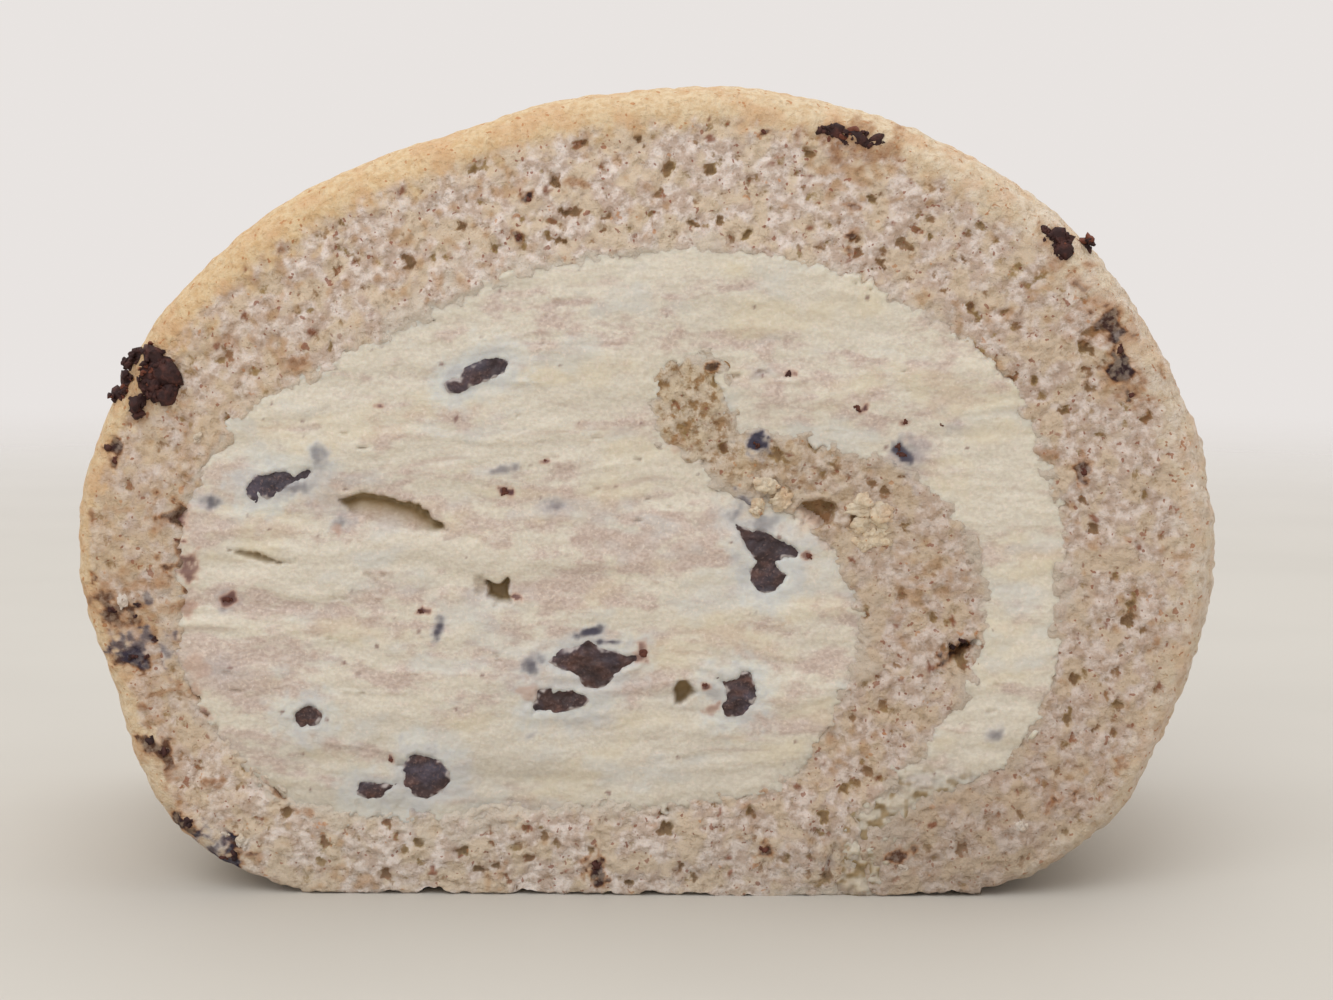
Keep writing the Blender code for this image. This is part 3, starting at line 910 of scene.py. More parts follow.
class Looks:
    """A procedural material under construction; sizes of patterns are in mm."""

    def __init__(self, name, roughness, specular=0.5):
        self.material = bpy.data.materials.new(name)
        self.material.use_nodes = True
        self.tree = self.material.node_tree
        self.shader = self.tree.nodes["Principled BSDF"]
        self.shader.inputs["Roughness"].default_value = roughness
        self.shader.inputs["Specular IOR Level"].default_value = specular
        self.place = self.add("ShaderNodeTexCoord").outputs["Object"]

    def add(self, kind, **settings):
        node = self.tree.nodes.new(kind)
        for key, value in settings.items():
            setattr(node, key, value)
        return node

    def join(self, source, target):
        self.tree.links.new(source, target)

    def pattern(self, size, detail=2.0, stretch=(1.0, 1.0, 1.0), offset=0.0, roughness=0.5):
        mapping = self.add("ShaderNodeMapping")
        mapping.inputs["Scale"].default_value = [1 / (size * MM * part) for part in stretch]
        mapping.inputs["Location"].default_value = (offset, offset * 1.7, offset * 2.3)
        self.join(self.place, mapping.inputs["Vector"])
        noise = self.add("ShaderNodeTexNoise")
        noise.inputs["Scale"].default_value = 1.0
        noise.inputs["Detail"].default_value = detail
        noise.inputs["Roughness"].default_value = roughness
        self.join(mapping.outputs["Vector"], noise.inputs["Vector"])
        return noise.outputs["Fac"]

    def height(self, low, high):
        """Falls from 1 to 0 between two heights over the base, in mm."""
        split = self.add("ShaderNodeSeparateXYZ")
        self.join(self.place, split.inputs["Vector"])
        return self.between(split.outputs["Z"], low * MM, high * MM, 1.0, 0.0)

    def value(self, name):
        return self.add("ShaderNodeAttribute", attribute_name=name).outputs["Fac"]

    def between(self, source, low, high, out_low=0.0, out_high=1.0):
        limit = self.add("ShaderNodeMapRange", interpolation_type="SMOOTHSTEP")
        limit.inputs["From Min"].default_value = low
        limit.inputs["From Max"].default_value = high
        limit.inputs["To Min"].default_value = out_low
        limit.inputs["To Max"].default_value = out_high
        self.join(source, limit.inputs["Value"])
        return limit.outputs["Result"]

    def maths(self, operation, a, b):
        node = self.add("ShaderNodeMath", operation=operation)
        for socket, item in zip(node.inputs, (a, b)):
            if isinstance(item, (int, float)):
                socket.default_value = item
            else:
                self.join(item, socket)
        return node.outputs["Value"]

    def mixed(self, factor, a, b):
        """Mixes two colours, each a socket or 8-bit display values."""
        node = self.add("ShaderNodeMix", data_type="RGBA")
        for socket, item in ((node.inputs["Factor"], factor), (node.inputs[6], a), (node.inputs[7], b)):
            if isinstance(item, tuple):
                socket.default_value = (*linear(item), 1.0)
            else:
                self.join(item, socket)
        return node.outputs[2]

    def tinted(self, colour, name, amount, tint):
        """Lays a tint over a colour by a named value of the mesh."""
        return self.mixed(self.maths("MULTIPLY", self.value(name), amount), colour, tint)

    def marked(self, colour, value, full, faint, strong, low=0.2, high=0.8):
        """Lays a mark over a colour: one tint where its value is low, another where it is high."""
        mark = self.mixed(self.between(value, low, high), faint, strong)
        return self.mixed(self.between(value, 0.0, full), colour, mark)

    def bumped(self, height, strength, distance):
        bump = self.add("ShaderNodeBump")
        bump.inputs["Strength"].default_value = strength
        bump.inputs["Distance"].default_value = distance * MM
        self.join(height, bump.inputs["Height"])
        self.join(bump.outputs["Normal"], self.shader.inputs["Normal"])

    def soft(self, weight, radius):
        self.shader.inputs["Subsurface Weight"].default_value = weight
        self.shader.inputs["Subsurface Radius"].default_value = (1.0, 0.75, 0.55)
        self.shader.inputs["Subsurface Scale"].default_value = radius * MM

    def coloured(self, colour):
        self.join(colour, self.shader.inputs["Base Color"])
        return self.material


def linear(display_colour):
    """A shader's colour from 8-bit display values."""
    shares = [value / 255 for value in display_colour]
    return [share / 12.92 if share <= 0.04045 else ((share + 0.055) / 1.055) ** 2.4 for share in shares]


def crumb_walls(look, clumps):
    """The pale walls between the bubbles, browner in the tail."""
    walls = look.mixed(look.between(clumps, 0.40, 0.60), (233, 220, 211), (200, 179, 164))
    warmer = look.between(look.pattern(2.4, 2.0, offset=3.1), 0.46, 0.60)
    walls = look.mixed(warmer, walls, (217, 198, 175))
    walls = look.tinted(walls, "ochre", 0.6, (184, 142, 98))
    walls = look.tinted(walls, "olive", 0.6, (212, 197, 168))
    patches = look.between(look.pattern(1.2, 4.0, offset=17.0, roughness=0.65), 0.46, 0.62)
    shadowed = look.maths("MULTIPLY", look.value("olive"), patches)
    return look.mixed(look.maths("MULTIPLY", shadowed, 0.95), walls, (152, 117, 76))


def painted_bubble_shade(look):
    """The insides of the bubbles as painted shade: olive-brown, darker the deeper they are, and rusty in
    some.
    """
    broad = look.between(look.pattern(2.2, 1.0, offset=8.2), 0.42, 0.58)
    inside = look.mixed(broad, (158, 131, 86), (152, 118, 86))
    inside = look.mixed(look.between(look.value("tag"), 0.80, 0.84), inside, (156, 104, 74))
    return look.mixed(look.between(look.value("pore_shade"), 0.55, 1.0, 0.0, 0.8), inside, (122, 94, 62))


def crust_colour(look, tiny_hole_shade, ragged):
    """The baked skin: cream-coloured where it is pale, golden where it is warm, with painted shade in its
    tiny holes and pores.
    """
    flecks = look.between(look.pattern(0.7, 3.0, offset=19.0, roughness=0.6), 0.36, 0.64)
    pale = look.mixed(flecks, (224, 216, 199), (208, 196, 173))
    warm = look.mixed(flecks, (222, 197, 159), (210, 177, 134))
    crust = look.mixed(look.value("warm"), pale, warm)
    browner = look.between(look.pattern(3.0, 2.0, offset=5.0), 0.48, 0.64, 0.0, 0.5)
    crust = look.mixed(browner, crust, (208, 166, 126))
    crust = look.mixed(look.maths("MULTIPLY", tiny_hole_shade, 0.22), crust, (190, 150, 108))
    return look.mixed(look.between(ragged, 0.3, 0.7, 0.0, 0.4), crust, (178, 138, 98))


def sponge_marks(look, colour):
    """Shade, specks, blue-grey smears and dark stains over crumb and skin alike."""
    # painted shade by station, weaker on the golden skin
    painted_shade = look.maths(
        "MULTIPLY", look.value("painted_shade"), look.between(look.value("golden"), 0.0, 1.0, 1.0, 0.25)
    )
    colour = look.mixed(painted_shade, colour, (142, 112, 86))
    # painted shade near the base, tinted grey-green
    colour = look.mixed(look.maths("MULTIPLY", look.height(2.0, 9.0), 0.16), colour, (124, 130, 124))
    colour = look.tinted(colour, "speck", 0.85, (130, 76, 48))
    dusk = look.value("dusk")
    colour = look.marked(colour, dusk, 0.8, (178, 174, 177), (70, 66, 80))
    stain = look.value("stain")
    dark = look.mixed(look.between(stain, 0.4, 0.95), (168, 120, 80), (54, 36, 38))
    dark = look.mixed(look.between(dusk, 0.1, 0.6, 0.0, 0.8), dark, (50, 50, 68))
    broken = look.between(look.pattern(0.6, 3.0, offset=29.0), 0.4, 0.6, 0.7, 1.0)
    return look.mixed(look.maths("MULTIPLY", look.between(stain, 0.0, 0.8), broken), colour, dark)


def sponge_looks():
    look = Looks("sponge_crumb", 0.85, 0.2)
    grain = look.pattern(0.4, 3.0, offset=1.0, roughness=0.6)
    clumps = look.pattern(1.1, 3.0, offset=2.0, roughness=0.6)
    holes = look.pattern(0.62, 2.0, offset=7.0)
    tiny_hole_shade = look.between(holes, 0.54, 0.66)
    # painted shade in the bubbles and tiny holes, with ragged edges
    ragged = look.maths("ADD", look.value("pore_shade"), look.between(grain, 0.2, 0.8, -0.3, 0.3))
    hole_shade = look.maths(
        "MAXIMUM", look.maths("MULTIPLY", tiny_hole_shade, 0.28), look.between(ragged, 0.18, 0.72, 0.0, 0.95)
    )
    crumb = look.mixed(hole_shade, crumb_walls(look, clumps), painted_bubble_shade(look))
    rust = look.maths(
        "MAXIMUM", look.between(look.pattern(0.9, 2.0, offset=11.0), 0.685, 0.72, 0.0, 0.75),
        look.between(look.pattern(0.5, 1.0, offset=23.0), 0.695, 0.735, 0.0, 0.8),
    )
    orange = look.between(look.pattern(1.0, 2.0, offset=13.0), 0.71, 0.75, 0.0, 0.6)
    crumb = look.mixed(rust, crumb, (146, 88, 66))
    crumb = look.mixed(orange, crumb, (196, 134, 84))
    crumb = look.tinted(crumb, "smeared", 0.72, (211, 200, 185))
    crust = crust_colour(look, tiny_hole_shade, ragged)
    crust = look.mixed(look.maths("MAXIMUM", orange, rust), crust, (186, 126, 80))
    colour = sponge_marks(look, look.mixed(look.value("golden"), crumb, crust))
    height = look.maths("ADD", grain, clumps)
    height = look.maths("SUBTRACT", height, look.between(holes, 0.5, 0.75, 0.0, 0.35))
    look.bumped(height, 0.75, 0.34)
    look.soft(0.15, 0.8)
    return look.coloured(colour)


def cream_looks():
    look = Looks("cream_filling", 0.5, 0.35)
    fine = look.pattern(0.4, 3.0, (2.4, 2.0, 1.0), offset=1.3)
    grain = look.pattern(0.24, 2.0, (1.4, 1.0, 1.0), offset=4.0)
    ivory = look.mixed(look.between(grain, 0.35, 0.65), (221, 213, 197), (211, 202, 186))
    mauve = look.mixed(look.between(grain, 0.35, 0.65), (208, 191, 179), (191, 172, 160))
    amount = look.maths("ADD", look.value("mauve"), look.between(fine, 0.3, 0.7, -0.2, 0.2))
    colour = look.mixed(look.between(amount, 0.0, 1.0), ivory, mauve)
    colour = look.tinted(colour, "yellow", 0.4, (219, 205, 174))
    colour = look.tinted(colour, "pale", 0.45, (204, 204, 200))
    # painted highlights: tiny bright glints on the cream
    painted_sparkle = look.between(look.pattern(0.33, 1.0, offset=9.0), 0.6, 0.72, 0.0, 0.45)
    colour = look.mixed(painted_sparkle, colour, (232, 218, 204))
    colour = look.tinted(colour, "line", 0.3, (182, 152, 142))
    colour = look.tinted(colour, "halo", 0.6, (214, 217, 213))
    # painted shade, darker towards the bottom
    colour = look.tinted(colour, "painted_shade", 0.24, (146, 138, 130))
    colour = look.marked(colour, look.value("dusk"), 0.9, (182, 179, 184), (74, 70, 84))
    # painted shade in hollows and torn streaks, and crumb-brown at the foot
    colour = look.mixed(look.between(look.value("shade"), 0.0, 1.0, 0.0, 0.95), colour, (142, 118, 78))
    colour = look.tinted(colour, "speck", 0.75, (120, 78, 72))
    colour = look.marked(colour, look.value("stain"), 0.8, (196, 160, 140), (92, 56, 58), 0.35, 0.95)
    look.bumped(look.maths("ADD", grain, fine), 0.35, 0.12)
    look.soft(0.3, 1.5)
    return look.coloured(colour)


def chocolate_looks():
    look = Looks("chocolate", 0.5, 0.35)
    patches = look.pattern(0.9, 4.0, (1.8, 1.0, 0.8), offset=2.0)
    grain = look.pattern(0.22, 2.0, offset=5.0)
    colour = look.mixed(look.between(patches, 0.36, 0.66), (62, 44, 42), (104, 73, 64))
    colour = look.mixed(look.between(look.value("blue"), 0.0, 1.0, 0.0, 0.75), colour, (64, 62, 74))
    colour = look.mixed(look.between(grain, 0.55, 0.7, 0.0, 0.5), colour, (132, 106, 100))
    colour = look.mixed(look.between(grain, 0.3, 0.45, 0.45, 0.0), colour, (46, 34, 36))
    colour = look.tinted(colour, "film", 0.3, (96, 88, 104))
    # painted shade in the pits of the broken face
    colour = look.tinted(colour, "pit_shade", 0.5, (52, 38, 38))
    colour = look.tinted(colour, "cream", 0.85, (188, 178, 174))
    look.bumped(look.maths("ADD", patches, grain), 0.5, 0.15)
    return look.coloured(colour)


def burnt_looks():
    look = Looks("burnt_chocolate", 0.65, 0.3)
    patches = look.pattern(0.7, 4.0, offset=2.5)
    colour = look.mixed(look.between(patches, 0.42, 0.7), (44, 26, 27), (80, 46, 40))
    colour = look.tinted(colour, "redness", 0.9, (128, 72, 52))
    look.bumped(patches, 1.0, 0.35)
    return look.coloured(colour)


# ---- stage ----

FLOOR_RADIUS = 0.62       # in metres, as are the places of lights and camera
CAMERA_LENS = 62.1
CAMERA_PLACE = (0.0013, -(HALF_DEPTH + 183) * MM, 0.052)
CAMERA_DOWN = 6.1         # degrees below level
CAMERA_ROLL = -0.3


def floor_looks():
    """Pale and matt, fading out towards its rim so that no edge shows."""
    look = Looks("floor", 0.6, 0.3)
    look.coloured(look.mixed(look.between(look.pattern(40.0), 0.3, 0.7), (203, 199, 191), (200, 196, 188)))
    radial = look.add("ShaderNodeTexGradient", gradient_type="SPHERICAL")
    mapping = look.add("ShaderNodeMapping")
    mapping.inputs["Scale"].default_value = (1 / FLOOR_RADIUS,) * 3
    look.join(look.place, mapping.inputs["Vector"])
    look.join(mapping.outputs["Vector"], radial.inputs["Vector"])
    solid = look.between(radial.outputs["Fac"], 0.0, 0.72)
    clear = look.add("ShaderNodeBsdfTransparent")
    blend = look.add("ShaderNodeMixShader")
    look.join(solid, blend.inputs["Fac"])
    look.join(clear.outputs["BSDF"], blend.inputs[1])
    look.join(look.shader.outputs["BSDF"], blend.inputs[2])
    look.join(blend.outputs["Shader"], look.tree.nodes["Material Output"].inputs["Surface"])
    return look.material


def make_floor():
    maker = bmesh.new()
    bmesh.ops.create_circle(maker, cap_ends=True, segments=96, radius=FLOOR_RADIUS)
    mesh = bpy.data.meshes.new("floor")
    maker.to_mesh(mesh)
    maker.free()
    mesh.materials.append(floor_looks())
    linked("floor", mesh)


def area_light(name, place, target, size, power, colour):
    light = bpy.data.lights.new(name, "AREA")
    light.shape = "DISK"
    light.size = size
    light.energy = power
    light.color = colour
    item = linked(name, light)
    item.location = place
    item.rotation_euler = (Vector(target) - Vector(place)).to_track_quat("-Z", "Y").to_euler()


def make_light():
    world = bpy.data.worlds.new("studio")
    world.use_nodes = True
    background = world.node_tree.nodes["Background"]
    background.inputs["Color"].default_value = (0.81, 0.775, 0.755, 1.0)
    background.inputs["Strength"].default_value = 1.0
    bpy.context.scene.world = world
    area_light("key", (-0.35, -0.75, 0.95), (0, 0, 0.03), 0.9, 5.0, (0.94, 0.98, 1.0))
    area_light("top", (0.15, 0.25, 1.1), (0, 0, 0.03), 0.9, 3.0, (0.94, 0.98, 1.0))
    bpy.context.scene.view_settings.view_transform = "Standard"


def make_camera():
    camera_data = bpy.data.cameras.new("camera")
    camera_data.sensor_width = 36.0
    camera_data.lens = CAMERA_LENS
    camera = linked("camera", camera_data)
    camera.location = CAMERA_PLACE
    camera.rotation_euler = (math.radians(90 - CAMERA_DOWN), math.radians(CAMERA_ROLL), 0.0)
    bpy.context.scene.camera = camera


# ---- the marks of each cut ----

# Chocolate in the front cut: (level behind the cut, depth, blueness, outline from the solid's middle)
CHUNKS = {
    "chunk_middle": (0.02, 4.0, 0.1, (
        (-3.9, 0.2), (-2.7, 1.0), (-1.3, 1.3), (-0.7, 1.8), (0.0, 1.3), (1.1, 1.0), (2.1, 0.8),
        (3.3, 0.8), (3.2, 0.3), (2.5, -0.2), (1.5, -0.9), (0.7, -1.8), (-0.1, -2.0), (-0.9, -1.8),
        (-1.4, -1.1), (-2.3, -0.6), (-3.3, -0.2),
    )),
    "chunk_middle_low": (0.05, 3.0, 0.2, (
        (-1.8, 1.2), (-0.8, 1.2), (0.2, 1.1), (1.2, 1.2), (2.0, 0.8), (2.5, 0.3), (2.2, -0.1),
        (1.2, -0.4), (-0.2, -0.7), (-1.4, -0.6), (-2.2, -1.1), (-2.1, -0.2), (-1.7, 0.4),
    )),
    "chunk_tail": (0.05, 3.5, 0.55, (
        (-2.5, 2.7), (-2.0, 2.2), (-1.2, 1.9), (0.2, 1.7), (1.4, 1.5), (2.2, 0.9), (3.1, 0.1),
        (2.8, -0.4), (1.8, -0.3), (1.1, -0.8), (1.6, -1.4), (2.2, -1.8), (1.8, -2.4), (1.2, -3.0),
        (0.2, -3.2), (-0.4, -2.9), (-0.9, -2.2), (-1.0, -1.4), (-0.6, -0.7), (-1.0, -0.2),
        (-1.6, 0.6), (-2.0, 1.6),
    )),
    "chunk_upper": (0.05, 2.8, 0.7, (
        (-2.9, -1.2), (-2.5, -0.9), (-1.8, -0.9), (-1.4, -0.1), (-0.5, 0.4), (0.3, 0.9),
        (1.3, 1.1), (2.0, 0.7), (2.1, -0.1), (1.4, -0.5), (0.3, -0.9), (-1.1, -1.1), (-1.8, -1.6),
        (-2.7, -1.7),
    )),
    "chunk_left": (0.1, 2.8, 0.9, (
        (-2.4, -1.0), (-2.5, -0.3), (-1.7, 0.5), (-0.1, 0.9), (1.5, 0.7), (2.5, 1.2), (3.0, 0.8),
        (2.5, 0.2), (1.2, -0.3), (0.4, -0.9), (-0.7, -1.4), (-1.5, -0.9), (-1.7, -1.6),
    )),
    "chunk_right": (0.05, 2.8, 0.35, (
        (-2.4, 0.9), (-2.0, 1.3), (-1.4, 1.2), (-1.2, 0.8), (-0.3, 0.9), (0.2, 1.5), (0.8, 1.4),
        (1.1, 0.7), (1.5, -0.1), (1.1, -1.0), (0.7, -1.7), (0.0, -2.0), (-1.0, -2.1), (-1.6, -1.6),
        (-1.2, -1.0), (-1.1, -0.3), (-1.3, 0.3), (-1.8, 0.5),
    )),
    "chunk_low": (0.05, 2.8, 0.5, (
        (-1.7, 1.8), (-0.7, 2.0), (0.2, 1.7), (1.1, 1.2), (1.7, 0.3), (1.6, -0.4), (0.9, -1.2),
        (-0.2, -1.9), (-1.1, -1.6), (-1.9, -0.9), (-2.0, 0.2), (-1.9, 1.1),
    )),
    "chunk_low_flat": (0.05, 2.4, 0.5, (
        (-1.5, -0.5), (-1.3, 0.4), (-0.2, 0.4), (0.8, 0.4), (1.8, 0.4), (1.2, -0.2), (0.4, -0.7),
        (-0.6, -0.8),
    )),
    "chunk_low_left": (0.1, 2.3, 0.25, (
        (-1.3, 0.3), (-1.1, -0.4), (-0.5, -0.9), (0.3, -0.9), (1.1, -0.5), (1.3, 0.2), (1.0, 0.8),
        (0.3, 1.0), (-0.6, 0.8),
    )),
}

# Hollows in the cream at the front: (outline, depth, shade, slope); with a slope of 0 it is even
FRONT_HOLLOWS = (
    (((-24.8, 32.3), (-23.1, 32.95), (-21.2, 32.65), (-19.1, 32.1), (-17.5, 31.2), (-16.1, 29.9),
      (-17.6, 29.7), (-20.0, 29.9), (-22.5, 30.4), (-24.2, 31.3)), 1.5, 1.5, 1.3),
    (((-33.8, 28.3), (-32.6, 28.3), (-31.2, 27.9), (-29.8, 27.4), (-28.8, 27.3), (-29.6, 27.0),
      (-31.5, 27.2), (-33.2, 27.8)), 0.9, 1.2, 0.7),
    (((-14.2, 26.4), (-13.4, 26.3), (-12.9, 25.6), (-12.9, 24.9), (-13.6, 24.3), (-14.1, 24.4)),
     0.45, 0.4, 0.0),
    (((-13.1, 25.7), (-12.3, 25.5), (-11.3, 26.1), (-11.2, 25.0), (-10.9, 24.0), (-12.3, 23.8),
      (-13.0, 24.6)), 1.5, 1.0, 0.0),
    (((2.0, 16.9), (2.5, 17.9), (3.2, 17.9), (3.8, 16.8), (3.2, 16.0), (2.1, 15.7)), 1.3, 1.0, 0.0),
    (((-22.9, 26.5), (-22.2, 26.6), (-21.7, 25.8), (-21.6, 25.2), (-22.4, 25.0), (-22.7, 25.8)),
     0.5, 0.4, 0.6),
)

# Blue-grey smears that chocolate leaves at the front: (across, up, width, height, tilt, strength)
FRONT_SMEARS = (
    (-4.8, 21.7, 2.6, 0.9, 12, 0.9), (-3.1, 20.9, 2.4, 0.5, -2, 0.8), (-9.3, 19.0, 1.8, 2.0, 0, 0.7),
    (-5.5, 14.5, 8.0, 2.0, 4, 0.35), (-11.0, 17.5, 3.0, 4.0, 0, 0.3), (2.5, 16.6, 3.0, 3.0, 0, 0.3),
    (-1.2, 17.2, 4.0, 2.2, 10, 0.25), (7.2, 31.5, 1.6, 2.4, -30, 0.6), (9.2, 30.7, 2.6, 1.4, 0, 0.55),
    (12.2, 26.5, 2.4, 3.0, 0, 0.35), (7.4, 27.2, 1.8, 3.0, 30, 0.4), (5.4, 16.9, 1.6, 1.8, 0, 0.45),
    (-26.4, 35.7, 1.8, 1.8, 60, 0.6), (-28.8, 33.3, 4.2, 1.4, 8, 0.6), (-25.2, 32.0, 5.0, 3.2, 0, 0.35),
    (-12.6, 44.2, 3.6, 1.2, 15, 0.35), (-15.2, 42.6, 2.2, 1.2, 25, 0.45),
    (-11.8, 34.8, 3.2, 0.7, 14, 0.6), (-35.2, 32.0, 1.6, 1.2, 0, 0.7), (-34.0, 24.2, 1.6, 1.6, 50, 0.55),
    (-24.6, 30.4, 2.2, 1.2, 10, 0.6), (-7.7, 31.9, 1.8, 1.0, -10, 0.6), (-27.4, 15.6, 2.0, 1.2, 0, 0.5),
    (-16.9, 22.0, 0.9, 2.2, -20, 0.8), (-18.2, 9.9, 4.2, 4.4, 0, 0.45), (-15.2, 9.6, 2.4, 3.4, 0, 0.3),
    (-22.0, 8.8, 4.4, 2.0, 0, 0.3), (21.2, 36.4, 2.4, 2.6, -55, 0.5), (9.0, 42.6, 2.2, 1.4, 0, 0.4),
    (28.0, 13.4, 1.8, 1.6, 30, 0.6), (8.6, 36.9, 1.8, 2.0, 0, 0.5), (24.2, 38.4, 2.0, 1.4, 0, 0.35),
    (-34.6, 18.6, 3.0, 2.4, 0, 0.3), (-9.5, 13.2, 1.6, 0.6, 20, 0.5), (-41.2, 20.2, 3.4, 2.0, -10, 0.6),
    (-35.2, 3.6, 3.4, 2.8, -20, 0.65), (-39.0, 20.0, 1.6, 2.2, 0, 0.55), (-40.4, 24.4, 0.8, 1.1, 0, 0.5),
    (-34.3, 23.4, 0.9, 0.8, 0, 0.55), (20.4, 36.1, 3.6, 2.2, -50, 0.45), (20.2, 36.3, 2.6, 1.0, -52, 0.9),
    (8.6, 36.9, 1.3, 1.1, 0, 0.85),
)

